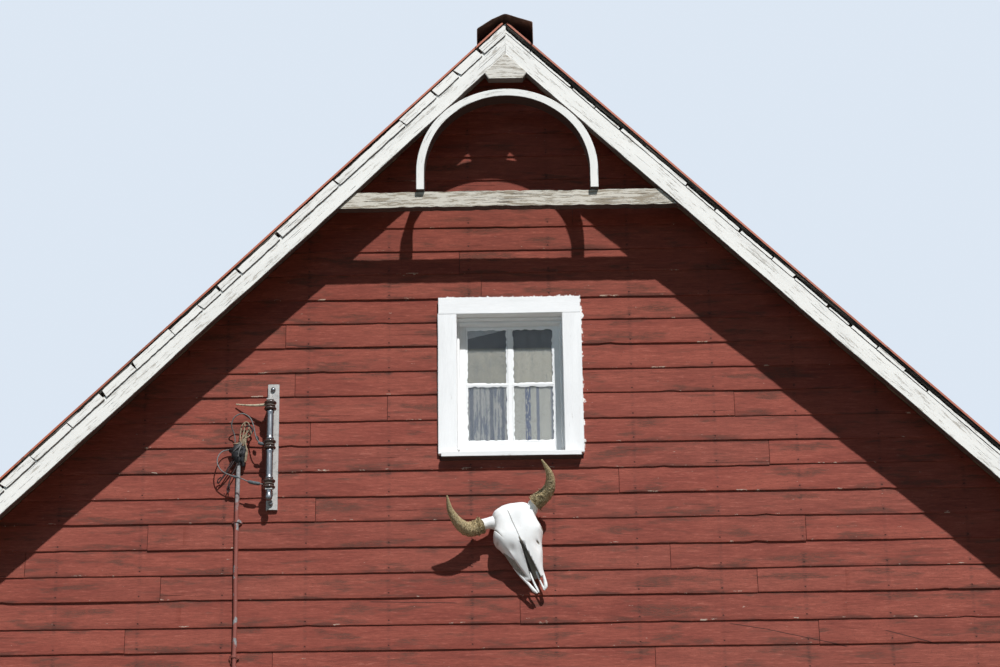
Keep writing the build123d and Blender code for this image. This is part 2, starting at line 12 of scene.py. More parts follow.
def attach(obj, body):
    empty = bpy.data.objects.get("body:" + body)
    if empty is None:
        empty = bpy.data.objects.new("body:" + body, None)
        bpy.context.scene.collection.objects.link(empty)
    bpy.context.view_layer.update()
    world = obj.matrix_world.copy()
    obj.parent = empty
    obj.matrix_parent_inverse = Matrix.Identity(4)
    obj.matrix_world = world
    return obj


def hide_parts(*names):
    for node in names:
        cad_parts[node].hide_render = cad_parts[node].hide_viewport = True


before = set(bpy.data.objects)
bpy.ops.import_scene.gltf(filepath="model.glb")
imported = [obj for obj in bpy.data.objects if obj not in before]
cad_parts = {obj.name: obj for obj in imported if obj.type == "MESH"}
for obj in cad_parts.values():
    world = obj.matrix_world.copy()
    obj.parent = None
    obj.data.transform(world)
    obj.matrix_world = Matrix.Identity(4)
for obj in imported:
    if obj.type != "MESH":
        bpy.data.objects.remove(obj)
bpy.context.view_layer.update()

# Sizes shared with the frame
HALF_WIDTH = 3.35
HALF_LENGTH = 4.5
DECK_APEX = 8.9581
BARGE_APEX = 8.8308
SHINGLE_APEX = 8.9920
SHEET_APEX = 9.0175
ROOF_APEX = 9.0288
EAVES_END = 3.725
BARGE_FRONT = 4.80
RAKE_FRONT = 4.809
SLOPE = math.sqrt(0.5)
GABLE_WALLS = ("front", "back")
ROOF_SIDES = (("left", -1), ("right", 1))

# Siding
LAP_START = 0.441
EXPOSURE = 0.1324
LAP_COVER = 0.020
BUTT_OUT = 0.0155
LAP_OUT = 0.0065
CORNER_EDGE = 3.233
SIDING_FOOT = 0.421
EAVES_SIDING_TOP = 5.475
STUD_SPACING = 0.406
NAIL_ROW = 0.021

# Casings and linings of windows and doors
CASING = 0.091
CASING_THICK = 0.035
LINING = 0.022
LINING_DEEP = 0.169
LINING_Y = 0.085


# Mesh building

class Skin:
    """One closed surface: points, quads, the UV of each corner and a number for each point."""

    def __init__(self, points, quads, uv, number):
        self.points = points
        self.quads = quads
        self.uv = uv
        self.number = np.broadcast_to(number, len(points)).astype(float)
        corners = points[quads]
        middle = corners.mean(axis=1) - points.mean(axis=0)
        normal = np.cross(corners[:, 2] - corners[:, 0], corners[:, 3] - corners[:, 1])
        if (middle * normal).sum() < 0:
            self.quads = quads[:, ::-1]
            self.uv = uv[:, ::-1]


def skin(grid, uv, number=0.0):
    """Ring i of grid[i, j] is joined to ring i + 1, and quads between halves close both ends.

    Corner (i, j) takes uv[i, j]; a uv with one more column than the grid wraps round.
    """
    stations, around = grid.shape[:2]
    if uv.shape[1] == around:
        uv = np.concatenate([uv, uv[:, :1]], axis=1)
    i, j = np.meshgrid(np.arange(stations - 1), np.arange(around), indexing="ij")
    i, j = i.ravel(), j.ravel()
    k = (j + 1) % around
    quads = np.stack([i * around + j, (i + 1) * around + j, (i + 1) * around + k, i * around + k], 1)
    corners = np.stack([uv[i, j], uv[i + 1, j], uv[i + 1, j + 1], uv[i, j + 1]], 1)
    q = np.arange(around // 2 - 1)
    cap = np.stack([q, q + 1, around - 2 - q, around - 1 - q], 1)
    last = cap[:, ::-1]
    quads = np.concatenate([quads, cap, last + (stations - 1) * around])
    corners = np.concatenate([corners, uv[0][cap], uv[-1][last]])
    number = np.broadcast_to(number, (stations, around)).ravel()
    return Skin(grid.reshape(-1, 3), quads, corners, number)


def piece(name, skins, finish, slot, *nodes, crease=38.0):
    """One object of several skins, smooth up to the crease angle, that stands for CAD nodes."""
    points = np.concatenate([s.points for s in skins])
    starts = np.cumsum([0] + [len(s.points) for s in skins[:-1]])
    quads = np.concatenate([s.quads + start for s, start in zip(skins, starts)])
    uv = np.concatenate([s.uv for s in skins])
    mesh = bpy.data.meshes.new(name)
    mesh.vertices.add(len(points))
    mesh.vertices.foreach_set("co", points.astype(np.float32).ravel())
    mesh.loops.add(quads.size)
    mesh.loops.foreach_set("vertex_index", quads.astype(np.int32).ravel())
    mesh.polygons.add(len(quads))
    mesh.polygons.foreach_set("loop_start", np.arange(0, quads.size, 4, dtype=np.int32))
    mesh.uv_layers.new(name="UVMap").data.foreach_set("uv", uv.astype(np.float32).ravel())
    tags = mesh.attributes.new("board", "FLOAT", "POINT")
    tags.data.foreach_set("value", np.concatenate([s.number for s in skins]).astype(np.float32))
    mesh.update(calc_edges=True)
    mesh.validate()
    mesh.shade_smooth()
    mesh.set_sharp_from_angle(angle=math.radians(crease))
    mesh.materials.append(finish.material)
    thing = bpy.data.objects.new(name, mesh)
    bpy.context.scene.collection.objects.link(thing)
    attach(thing, "root")
    if nodes:
        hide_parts(*nodes)
    return thing


def wander(place, seed, length, size):
    """A gentle wave: four sines of place / length with seeded phases, each weaker and shorter."""
    phases = np.random.default_rng(seed).uniform(0, 2 * math.pi, 4)
    total = sum(np.sin(place * (2 * math.pi / length) * (1 + 0.9 * k) + phases[k]) / (1 + k)
                for k in range(4))
    return size * total / 2


def chips(place, seed, spacing, share, depth):
    """Sparse notches: a share of knots, spacing apart, have a random depth; lines join them."""
    rng = np.random.default_rng(seed)
    knots = np.arange(-12.0, 12.0, spacing)
    depths = np.where(rng.random(len(knots)) < share, rng.random(len(knots)), 0.0) * depth
    return np.interp(place, knots, depths)


def smooth_table(place, knots, values):
    """Values at knots, joined by a curve with no kinks (cubic through neighbours' slopes)."""
    knots, values = np.asarray(knots, float), np.asarray(values, float)
    slope = np.gradient(values, knots)
    k = np.clip(np.searchsorted(knots, place) - 1, 0, len(knots) - 2)
    width = knots[k + 1] - knots[k]
    t = np.clip((place - knots[k]) / width, 0, 1)
    return ((2 * t**3 - 3 * t**2 + 1) * values[k] + (t**3 - 2 * t**2 + t) * width * slope[k]
            + (3 * t**2 - 2 * t**3) * values[k + 1] + (t**3 - t**2) * width * slope[k + 1])


def smooth_path(points, radii, count):
    """A smooth curve of count places through points, with the radius and parameter of each."""
    knots = np.arange(len(points))
    t = np.linspace(0, len(points) - 1, count)
    line = np.stack([smooth_table(t, knots, points[:, k]) for k in range(3)], -1)
    return line, smooth_table(t, knots, np.broadcast_to(radii, len(points))), t


def unit(vector):
    """The vector at length 1."""
    vector = np.asarray(vector, float)
    return vector / np.linalg.norm(vector)


def rounded_section(width, depth, radius):
    """A rectangle with cut corners and two more points on each wide side, as (a, b) rows."""
    w, d = width / 2, depth / 2
    a = [w, w, w - radius, w / 3, -w / 3, radius - w, -w, -w, radius - w, -w / 3, w / 3, w - radius]
    b = [radius - d, d - radius, d, d, d, d, d - radius, radius - d, -d, -d, -d, -d]
    return np.array([a, b]).T


def moulding(start, end, side, section, step=0.2, wave=0.0, rough=0.0, spacing=0.03,
             mitre=(0.0, 0.0), seed=0, number=None):
    """A section carried from start to end: point = start + t (end - start) + a side + b face.

    Both edges in a wander by wave, the edge at +a loses chips up to rough deep, and each end is
    cut at a slant: its points move along by mitre * a.
    """
    start, end, side = np.asarray(start, float), np.asarray(end, float), unit(side)
    length = np.linalg.norm(end - start)
    along = (end - start) / length
    face = np.cross(along, side)
    count = max(2, int(round(length / step)) + 1)
    t = np.linspace(0, 1, count)[:, None]
    a = np.broadcast_to(section[:, 0], (count, len(section)))
    b = np.broadcast_to(section[:, 1], (count, len(section)))
    place = t * length + 0.37 * seed % 3
    share = a / np.abs(section[:, 0]).max()
    edge = np.where(share > 0, wander(place, seed, 0.9, wave), wander(place, seed + 1, 1.3, wave))
    edge = edge - chips(place, seed + 2, spacing, 0.45, rough) * (share > 0.6)
    edge = edge + chips(place, seed + 3, spacing, 0.45, rough) * (share < -0.6)
    bow = wander(place, seed + 4, 1.7, wave)
    run = t * length + mitre[0] * a * (1 - t) + mitre[1] * a * t
    grid = (start + run[..., None] * along + (a + edge)[..., None] * side
            + (b + bow * 0.6)[..., None] * face)
    uv = np.stack([run, np.broadcast_to(section[:, 0] + 0.6 * section[:, 1], a.shape)], -1)
    if number is None:
        number = np.random.default_rng(seed + 77).random()
    return skin(grid, uv, number)


def board(start, end, side, width, depth, radius=0.002, **kept):
    """A sawn board on the centre line from start to end, its width in side."""
    return moulding(start, end, side, rounded_section(width, depth, radius), **kept)


def tube(path, radius, sides):
    """A round section carried along a path: point = path + r (cos a side + sin a face)."""
    path = np.asarray(path, float)
    along = np.gradient(path, axis=0)
    along /= np.linalg.norm(along, axis=1)[:, None]
    reference = np.array([0.31, -0.9, 0.22])
    side = np.cross(along, reference)
    side /= np.linalg.norm(side, axis=1)[:, None]
    face = np.cross(side, along)
    turn = np.linspace(0, 2 * math.pi, sides, endpoint=False)
    radius = np.broadcast_to(radius, len(path))[:, None, None]
    grid = (path[:, None] + radius * (np.cos(turn)[None, :, None] * side[:, None]
            + np.sin(turn)[None, :, None] * face[:, None]))
    distance = np.concatenate([[0], np.cumsum(np.linalg.norm(np.diff(path, axis=0), axis=1))])
    around = np.linspace(0, 1, sides + 1)
    uv = np.stack(np.broadcast_arrays(distance[:, None], around[None] * 0.1), -1)
    return skin(grid, uv)


def turned(profile, centre, sides, axis=(0, 0, 1)):
    """A closed (radius, height) outline turned about an axis through centre."""
    axis = unit(axis)
    first = unit(np.cross(axis, (0.3, 0.9, 0.1)))
    second = np.cross(axis, first)
    profile = np.asarray(profile, float)
    turn = np.linspace(0, 2 * math.pi, sides, endpoint=False)
    spoke = np.cos(turn)[:, None] * first + np.sin(turn)[:, None] * second
    grid = (np.asarray(centre, float) + profile[:, 0][:, None, None] * spoke[None]
            + profile[:, 1][:, None, None] * axis)
    length = np.concatenate([[0], np.cumsum(np.linalg.norm(np.diff(profile, axis=0), axis=1))])
    uv = np.stack(np.broadcast_arrays(np.linspace(0, 0.2, sides + 1)[None], length[:, None]), -1)
    return skin(grid, uv)


# The two rows of each wall's turn about z, then the middle of its plane
WALL_TURNS = {
    "front": (1, 0, 0, 1, 0, -HALF_LENGTH),
    "back": (-1, 0, 0, -1, 0, HALF_LENGTH),
    "left": (0, 1, -1, 0, -HALF_WIDTH, 0),
    "right": (0, -1, 1, 0, HALF_WIDTH, 0),
}


def on_wall(wall, skins):
    """Skins made on an upright wall plane, with y into the house, placed on that wall."""
    xx, xy, yx, yy, x0, y0 = WALL_TURNS[wall]
    for s in skins:
        x, y = s.points[:, 0].copy(), s.points[:, 1].copy()
        s.points[:, 0] = xx * x + xy * y + x0
        s.points[:, 1] = yx * x + yy * y + y0
    return skins


# Shader maths

class Tone:
    """One shader socket; sums and products of tones add Math nodes to their tree."""

    def __init__(self, nodes, socket):
        self.nodes = nodes
        self.socket = socket

    def __add__(self, other):
        return self.nodes.maths("ADD", self, other)

    def __sub__(self, other):
        return self.nodes.maths("SUBTRACT", self, other)

    def __rsub__(self, other):
        return self.nodes.maths("SUBTRACT", other, self)

    def __mul__(self, other):
        return self.nodes.maths("MULTIPLY", self, other)

    def __truediv__(self, other):
        return self.nodes.maths("DIVIDE", self, other)

    def __abs__(self):
        return self.nodes.maths("ABSOLUTE", self)

    __radd__ = __add__
    __rmul__ = __mul__


class Nodes:
    """A node tree, to which one method adds any node."""

    def __init__(self, tree):
        self.tree = tree

    def feed(self, socket, value):
        """A link where the value is a tone, and otherwise the socket's own value."""
        if isinstance(value, Tone):
            self.tree.links.new(value.socket, socket)
        elif isinstance(value, tuple) and len(value) == 3 and socket.type == "RGBA":
            socket.default_value = (*value, 1.0)
        else:
            socket.default_value = value

    def node(self, kind, settings=None, inputs=None, output=0):
        """Any node: its type, then its settings, then the values or links of its sockets."""
        node = self.tree.nodes.new(kind)
        for key, value in (settings or {}).items():
            setattr(node, key, value)
        for key, value in (inputs or {}).items():
            self.feed(node.inputs[key], value)
        return Tone(self, node.outputs[output])

    def maths(self, operation, first, second=0.0):
        """One Math node; it takes tones or numbers."""
        return self.node("ShaderNodeMath", {"operation": operation}, {0: first, 1: second})

    def larger(self, first, second):
        """The larger of two values."""
        return self.maths("MAXIMUM", first, second)

    def mix(self, factor, first, second):
        """A colour between first and second."""
        return self.node("ShaderNodeMix", {"data_type": "RGBA"},
                         {0: factor, 6: first, 7: second}, output=2)


class Finish(Nodes):
    """A procedural material, with helpers for the patterns that the finishes share."""

    def __init__(self, name):
        self.material = bpy.data.materials.new(name)
        self.material.use_nodes = True
        super().__init__(self.material.node_tree)
        self.shader = self.tree.nodes["Principled BSDF"]

    def tint(self, color, share):
        """A colour times a value around 1."""
        return self.node("ShaderNodeVectorMath", {"operation": "SCALE"}, {0: color, "Scale": share})

    def step(self, value, low, high):
        """A smooth step from 0 at low to 1 at high."""
        return self.node("ShaderNodeMapRange", {"interpolation_type": "SMOOTHSTEP"},
                         {"Value": value, "From Min": low, "From Max": high})

    def axes(self, vector):
        """The three parts of a vector."""
        split = self.node("ShaderNodeSeparateXYZ", inputs={0: vector}).socket.node
        return [Tone(self, output) for output in split.outputs]

    def place(self):
        """Object coordinates: the place in the frame, in metres."""
        return self.node("ShaderNodeTexCoord", output=3)

    def along_board(self):
        """(metres along, metres across, number) of the board under the point."""
        u, v, _ = self.axes(self.node("ShaderNodeTexCoord", output=2))
        number = self.node("ShaderNodeAttribute", {"attribute_name": "board"}, output=2)
        return u, v, number

    def join(self, x, y, z):
        """A vector of three values."""
        return self.node("ShaderNodeCombineXYZ", inputs={0: x, 1: y, 2: z})

    def noise(self, place, detail, scale=1.0, roughness=0.6):
        """Cloudy noise between 0 and 1 at a place."""
        return self.node("ShaderNodeTexNoise", {"noise_dimensions": "3D"},
                         {"Vector": place, "Scale": scale, "Detail": detail,
                          "Roughness": roughness})

    def stretched(self, place, x, y, z):
        """A place times a scale along each axis."""
        return self.node("ShaderNodeMapping", inputs={"Vector": place, "Scale": (x, y, z)})

    def coat(self, color, roughness, height=None, depth=0.001, **constants):
        """Sets the shader: colour, roughness, a bump of height * depth, and plain constants."""
        self.feed(self.shader.inputs["Base Color"], color)
        self.feed(self.shader.inputs["Roughness"], roughness)
        if height is not None:
            bump = self.node("ShaderNodeBump", inputs={"Height": height, "Distance": depth,
                                                       "Strength": 1.0})
            self.feed(self.shader.inputs["Normal"], bump)
        for key, value in constants.items():
            self.shader.inputs[key.replace("_", " ")].default_value = value
        return self


# Half width and top of the attic window's casing and the foot of the white smears round it
CASING_EDGE, CASING_HEAD, SMEAR_FOOT = 0.358, 7.588, 6.75

# Splits that cross the boards, as x and z of both ends
SPLITS = ((1.049, 5.847, 1.218, 5.817), (1.218, 5.817, 1.605, 5.723), (1.798, 5.800, 2.049, 5.726),
          (-1.128, 7.343, -0.946, 7.327), (-0.70, 5.985, -0.28, 5.972))


def red_boards(name, upper_gable=False):
    """Worn red paint on rough boards: a fibrous grain, dark worn patches and pale chipped edges.

    Everything is noise of (along, across, board); v is 0 at the butt of each board.
    """
    f = Finish(name)
    u, v, number = f.along_board()
    shift = number * 41.0
    fibre = f.noise(f.join(u * 34.0, v * 210.0, shift), detail=5.0, roughness=0.7)
    grain = f.noise(f.join(u * 9.0, v * 90.0, shift + 2.0), detail=5.0, roughness=0.65)
    speck = f.noise(f.join(u * 120.0, v * 210.0, shift), detail=2.0)
    cloud = f.noise(f.join(u * 2.4, v * 10.0, shift), detail=4.0)
    fade = f.noise(f.join(u * 0.5, number * 9.0, shift), detail=2.0)
    patchy = f.noise(f.join(u * 3.4, v * 19.0, shift + 7.0), detail=3.0)
    worn = f.step(patchy, 0.52, 0.64) * f.step(fibre + grain * 0.5, 0.63, 0.80)
    pepper = f.step(speck, 0.60, 0.68) * f.step(cloud + fade * 0.3, 0.62, 0.76)
    crack = f.noise(f.join(u * 1.4, v * 150.0, shift + 3.0), detail=3.0)
    crack = f.step(crack, 0.70, 0.73) * f.step(fade, 0.45, 0.55)
    flake = f.noise(f.join(u * 9.0, v * 30.0, shift + 11.0), detail=5.0, roughness=0.75)
    fleck = f.step(flake, 0.615, 0.645) * f.step(v, 0.0085, 0.0045)
    stray = f.step(f.noise(f.join(u * 24.0, v * 85.0, shift + 5.0), detail=3.0), 0.735, 0.755)
    red = f.mix(f.step(cloud, 0.3, 0.72), (0.216, 0.049, 0.034), (0.285, 0.071, 0.048))
    red = f.mix(f.step(fade, 0.4, 0.75) * 0.6, red, (0.264, 0.074, 0.052))
    red = f.tint(red, -0.05 + number * 0.12 + fibre * 1.00 + grain * 1.04)
    red = f.mix(f.step(fibre + grain, 1.10, 1.30) * 0.35, red, (0.42, 0.17, 0.125))
    red = f.mix(worn * 0.76, red, (0.100, 0.048, 0.036))
    red = f.mix(pepper * 0.45, red, (0.075, 0.026, 0.020))
    damp = f.step(v, 0.020, 0.002) * f.step(patchy, 0.45, 0.62)
    red = f.mix(damp * 0.5, red, (0.10, 0.034, 0.026))
    red = f.mix(crack * 0.85, red, (0.030, 0.012, 0.010))
    red = f.mix(f.larger(fleck, stray * 0.6) * 0.85, red, (0.58, 0.47, 0.38))
    stud = abs(f.maths("FRACT", u / STUD_SPACING) - 0.5) * STUD_SPACING
    row = abs(v - NAIL_ROW)
    nail = f.step(f.maths("SQRT", stud * stud + row * row), 0.0050, 0.0030)
    streak = f.step(stud, 0.016, 0.002) * f.step(fibre + patchy * 0.5, 0.74, 0.84)
    red = f.mix(streak * 0.55, red, (0.07, 0.030, 0.024))
    red = f.mix(nail * 0.8, red, (0.05, 0.020, 0.016))
    if upper_gable:
        x, _, z = f.axes(f.place())
        # Darker towards the top of the gable
        towards_peak = f.step(z, 6.6, 8.2)
        red = f.mix(towards_peak, red, f.node("ShaderNodeVectorMath", {"operation": "MULTIPLY"},
                                      {0: red, 1: (0.86, 0.76, 0.68)}))
        wide = abs(x) - CASING_EDGE
        outside = f.larger(wide, f.larger(z - CASING_HEAD, (SMEAR_FOOT - z) * 9.0))
        blot = f.noise(f.join(x * 34.0, 0.0, z * 30.0), detail=6.0, roughness=0.72)
        reach = f.larger(f.step(x, 0.0, 0.3) * 19.0, f.step(z, 7.585, 7.592) * 12.0)
        reach = reach - f.step(x, 0.3, 0.36) * f.step(z, 7.57, 7.60) * 18.0
        smear = f.step(blot - outside * (30.0 - reach), 0.425, 0.46)
        dots = f.noise(f.join(x * 95.0, 2.0, z * 75.0), detail=2.0)
        dots = f.step(dots, 0.70, 0.73) * f.step(outside, 0.10, 0.01) * f.step(x, 0.2, 0.3)
        red = f.mix(f.larger(smear, dots), red, (0.78, 0.75, 0.72))
        for x0, z0, x1, z1 in SPLITS:
            gap = abs(z + (x0 - x) * ((z1 - z0) / (x1 - x0)) - z0 + blot * 0.006 - 0.003)
            gap = f.step(gap, 0.0034, 0.0012) * f.step(x, x0 - 0.01, x0 + 0.01)
            red = f.mix(gap * f.step(x, x1 + 0.01, x1 - 0.01) * 0.85, red, (0.035, 0.014, 0.011))
    height = fibre * 0.5 + grain * 0.45 + cloud * 0.4 - crack * 1.5 - worn * 0.35 - nail * 1.5
    return f.coat(red, 0.74 + worn * 0.1, height, 0.0014, Specular_IOR_Level=0.20)


# Dark brown: painted shade on faces that look down, and bare wood on faces that look in towards a
# centre
SHADE_AND_BARE_BROWN = (0.060, 0.038, 0.031)


def white_boards(name, paint, bare_color, wear, cracks, on_board=True, undersides=True,
                 bare_inside=None):
    """White paint over a board: wear and cracks run along the grain, and undersides are bare.

    Noise of (along, across, board) on boards, or of the place in the frame on plain nodes. With
    bare_inside, the height of a centre, the faces that look towards that centre are bare, in the same
    dark brown.
    """
    f = Finish(name)
    if on_board:
        u, v, number = f.along_board()
    else:
        x, y, z = f.axes(f.place())
        u, v, number = z, x + y, 0.37
    shift = number * 41.0
    fibre = f.noise(f.join(u * 30.0, v * 240.0, shift), detail=5.0, roughness=0.7)
    cloud = f.noise(f.join(u * 2.2, v * 16.0, shift), detail=4.0)
    worn = f.noise(f.join(u * 9.0, v * 75.0, shift + 5.0), detail=7.0, roughness=0.75)
    worn = f.step(worn + cloud * 0.25, 0.80 - wear, 0.88 - wear)
    crack = f.noise(f.join(u * 4.2, v * 170.0, shift + 2.0), detail=4.0, roughness=0.6)
    crack = f.step(crack, 0.72 - cracks, 0.745 - cracks)
    tick = f.step(f.noise(f.join(u * 70.0, v * 60.0, shift + 9.0), detail=2.0), 0.77, 0.79)
    white = f.mix(f.step(cloud, 0.3, 0.75), paint, tuple(0.90 * c for c in paint))
    white = f.tint(white, 0.90 + fibre * 0.18)
    white = f.mix(worn * (0.45 + fibre * 0.7), white, bare_color)
    open_grain = f.larger(crack, tick * (cracks * 12.0))
    white = f.mix(open_grain * 0.85, white, (0.075, 0.062, 0.052))
    if undersides:
        # Painted shade: faces that look down are painted dark brown
        down = f.axes(f.node("ShaderNodeNewGeometry", output=1))[2]
        white = f.mix(f.step(down, -0.25, -0.55) * 0.97, white, SHADE_AND_BARE_BROWN)
    if bare_inside is not None:
        nx, _, nz = f.axes(f.node("ShaderNodeNewGeometry", output=1))
        x, _, z = f.axes(f.place())
        inside = f.step(nx * x + nz * (z - bare_inside), -0.10, -0.22)
        white = f.mix(inside * 0.97, white, SHADE_AND_BARE_BROWN)
    height = fibre * 0.4 + cloud * 0.4 - crack * 1.3 - worn * 0.5
    return f.coat(white, 0.55 + worn * 0.3, height, 0.001, Specular_IOR_Level=0.3)


def timber(name, color):
    """Sawn timber, its grain along y, with dark stains."""
    f = Finish(name)
    place = f.place()
    grain = f.noise(f.stretched(place, 38.0, 5.0, 38.0), detail=6.0)
    stain = f.noise(place, scale=1.3, detail=4.0)
    wood = f.mix(f.step(grain, 0.35, 0.7), color, tuple(0.55 * c for c in color))
    wood = f.mix(f.step(stain, 0.45, 0.75) * 0.5, wood, (0.13, 0.105, 0.085))
    return f.coat(wood, 0.85, grain, 0.0015)


def stones(name, light, dark, mortar):
    """Rough stone, each with its own tint, and sandy mortar where the number is below zero."""
    f = Finish(name)
    _, _, number = f.along_board()
    place = f.place()
    speckle = f.noise(place, scale=90.0, detail=5.0, roughness=0.7)
    vein = f.noise(place, scale=9.0, detail=6.0)
    stone = f.mix(f.maths("FRACT", abs(number) * 7.3), light, dark)
    stone = f.tint(f.mix(f.step(vein, 0.4, 0.7) * 0.5, stone, dark), 0.75 + speckle * 0.5)
    color = f.mix(f.step(number, -0.5, -0.2), mortar, stone)
    return f.coat(color, 0.9, speckle * 0.6 + vein, 0.004)


def metal_paint(name, paint, rust, rust_share, roughness):
    """Painted sheet metal, faded in runs down the slope, rusted through in places."""
    f = Finish(name)
    x, y, z = f.axes(f.place())
    runs = f.noise(f.join(x * 0.8, y * 16.0, z * 0.8), detail=4.0)
    cloud = f.noise(f.join(x * 2.0, y * 2.0, z * 2.0), detail=5.0)
    spots = f.noise(f.join(x * 14.0, y * 14.0, z * 14.0), detail=7.0, roughness=0.7)
    rusty = f.step(spots * 0.45 + cloud * 0.45 + runs * 0.25, 0.72 - rust_share, 0.82 - rust_share)
    color = f.mix(f.step(runs, 0.35, 0.7), paint, tuple(0.74 * c for c in paint))
    color = f.mix(f.step(cloud, 0.4, 0.75) * 0.4, color, tuple(min(1.0, 1.25 * c) for c in paint))
    color = f.mix(rusty, color, f.mix(spots, rust, tuple(0.4 * c for c in rust)))
    return f.coat(color, roughness + rusty * 0.35, spots * 0.5 + cloud, 0.0012,
                  Specular_IOR_Level=0.45)


def shingle_wood(name):
    """Old shingles, grey to black, with lichen grey on some."""
    f = Finish(name)
    u, v, number = f.along_board()
    grain = f.noise(f.join(u * 12.0, v * 260.0, number * 31.0), detail=5.0)
    tone = f.mix(f.step(number, 0.2, 0.95), (0.030, 0.027, 0.024), (0.22, 0.20, 0.175))
    tone = f.mix(f.step(grain, 0.48, 0.70) * 0.6, tone, (0.30, 0.28, 0.25))
    return f.coat(tone, 0.92, grain, 0.0015)


def zinc(name, color, rust_share, metallic, rough=0.55):
    """Dull galvanised steel: spangles of grey and dirt, with a little rust."""
    f = Finish(name)
    place = f.place()
    spangle = f.node("ShaderNodeTexVoronoi", inputs={"Vector": place, "Scale": 260.0})
    dirt = f.noise(place, scale=42.0, detail=6.0, roughness=0.65)
    rust = f.step(f.noise(place, scale=75.0, detail=6.0), 0.72 - rust_share, 0.80 - rust_share)
    tone = f.tint(color, 0.82 + spangle * 0.3)
    tone = f.mix(f.step(dirt, 0.5, 0.72) * 0.5, tone, (0.13, 0.125, 0.12))
    tone = f.mix(rust, tone, (0.20, 0.075, 0.035))
    return f.coat(tone, rough + dirt * 0.3, dirt, 0.0006, Metallic=metallic)


def glaze(name, dark, light, gloss):
    """A dark glossy coat with faint runs and some dust on it."""
    f = Finish(name)
    place = f.place()
    run = f.noise(f.stretched(place, 60.0, 60.0, 16.0), detail=4.0)
    color = f.mix(f.step(run, 0.35, 0.72), dark, light)
    dust = f.noise(place, scale=130.0, detail=4.0)
    color = f.mix(f.step(dust, 0.6, 0.75) * 0.35, color, (0.20, 0.17, 0.15))
    return f.coat(color, gloss + dust * 0.2, run, 0.0006, Coat_Weight=0.6, Coat_Roughness=gloss)


def jacket(name, color, painted=None, painted_below=0.0):
    """Weathered cable jacket; below a height it was painted over with the wall."""
    f = Finish(name)
    place = f.place()
    dirt = f.noise(place, scale=85.0, detail=5.0)
    tone = f.mix(f.step(dirt, 0.35, 0.7), color, tuple(0.55 * c for c in color))
    if painted:
        z = f.axes(place)[2]
        patch = f.noise(place, scale=22.0, detail=5.0)
        cover = f.step(z + patch * 0.5, painted_below + 0.30, painted_below + 0.18)
        cover = cover * f.step(patch, 0.62, 0.56)
        tone = f.mix(cover, tone, painted)
    return f.coat(tone, 0.72, dirt, 0.0006)


def old_glass(name):
    """Thin old glass, dusty in patches, clear enough to see the cloth."""
    f = Finish(name)
    place = f.place()
    ripple = f.noise(f.stretched(place, 9.0, 9.0, 3.0), detail=2.0)
    dust = f.noise(place, scale=60.0, detail=5.0)
    f.feed(f.shader.inputs["Alpha"], 0.20 + f.step(dust, 0.5, 0.8) * 0.12)
    f.shader.inputs["IOR"].default_value = 1.5
    return f.coat((0.30, 0.33, 0.35), 0.05 + dust * 0.06, ripple, 0.002)


def curtain_cloth(name):
    """Faded cloth: beige at the top, its upper part darkened to slate as a painted shadow of the head
    casing, blue-grey stripes below, fine weave.

    u runs across the cloth and v up it, both in metres.
    """
    f = Finish(name)
    u, v, _ = f.along_board()
    thread = {"Vector": f.join(u, v, 0.0), "Scale": 210.0}
    weave = (f.node("ShaderNodeTexWave", {"bands_direction": "X"}, thread)
             + f.node("ShaderNodeTexWave", {"bands_direction": "Y"}, thread))
    blotch = f.noise(f.join(u * 9.0, v * 9.0, 0.0), detail=5.0)
    stain = f.noise(f.join(u * 62.0, v * 6.0, 1.0), detail=5.0)
    drip = f.noise(f.join(u * 140.0, v * 34.0, 1.0), detail=4.0)
    beige = f.mix(f.step(blotch, 0.35, 0.7), (0.47, 0.43, 0.32), (0.37, 0.34, 0.26))
    beige = f.mix(f.step(u, -0.02, 0.05) * 0.7, beige, (0.66, 0.61, 0.48))
    # Painted shadow: above v 0.51 the beige is darkened and tinted slate where the head casing's shadow
    # falls
    beige = f.mix(f.step(v, 0.506, 0.514), beige, f.tint(beige, 0.52))
    beige = f.mix(f.step(v, 0.506, 0.514) * 0.5, beige, (0.13, 0.13, 0.21))
    beige = f.mix(f.step(stain, 0.56, 0.66) * 0.35, beige, (0.20, 0.19, 0.18))
    blue = f.mix(f.step(stain + drip * 0.25, 0.60, 0.72), (0.48, 0.47, 0.44), (0.11, 0.13, 0.19))
    for middle, half, share in ((-0.197, 0.015, 0.9), (-0.152, 0.006, 0.6), (-0.096, 0.013, 0.9),
                                (-0.038, 0.011, 0.9), (-0.125, 0.004, 0.4)):
        band = abs(u - middle + (drip - 0.5) * 0.012)
        blue = f.mix(f.step(band, half, half * 0.4) * share, blue, (0.040, 0.052, 0.105))
    left = f.step(u, 0.02, -0.01)
    wide = f.step(abs(u - 0.091 + drip * 0.006), 0.017, 0.011)
    thin = f.step(abs(u - 0.141 + drip * 0.006), 0.010, 0.005)
    edge = f.step(abs(u - 0.11), 0.088, 0.100)
    stripes = f.larger(wide * f.step(drip, 0.62, 0.50), f.larger(thin * 0.8, edge * 0.7))
    low_right = f.mix(stripes, (0.62, 0.60, 0.52), (0.050, 0.075, 0.20))
    low = f.mix(left, low_right, blue)
    color = f.mix(f.step(v, 0.300, 0.306), low, beige)
    flap = f.step(v - u * 0.24, 0.614, 0.617) * left
    color = f.mix(flap, color, (0.92, 0.92, 0.95))
    color = f.tint(color, 0.9 + weave * 0.08)
    return f.coat(color, 0.95, weave, 0.0003, Sheen_Weight=0.15)


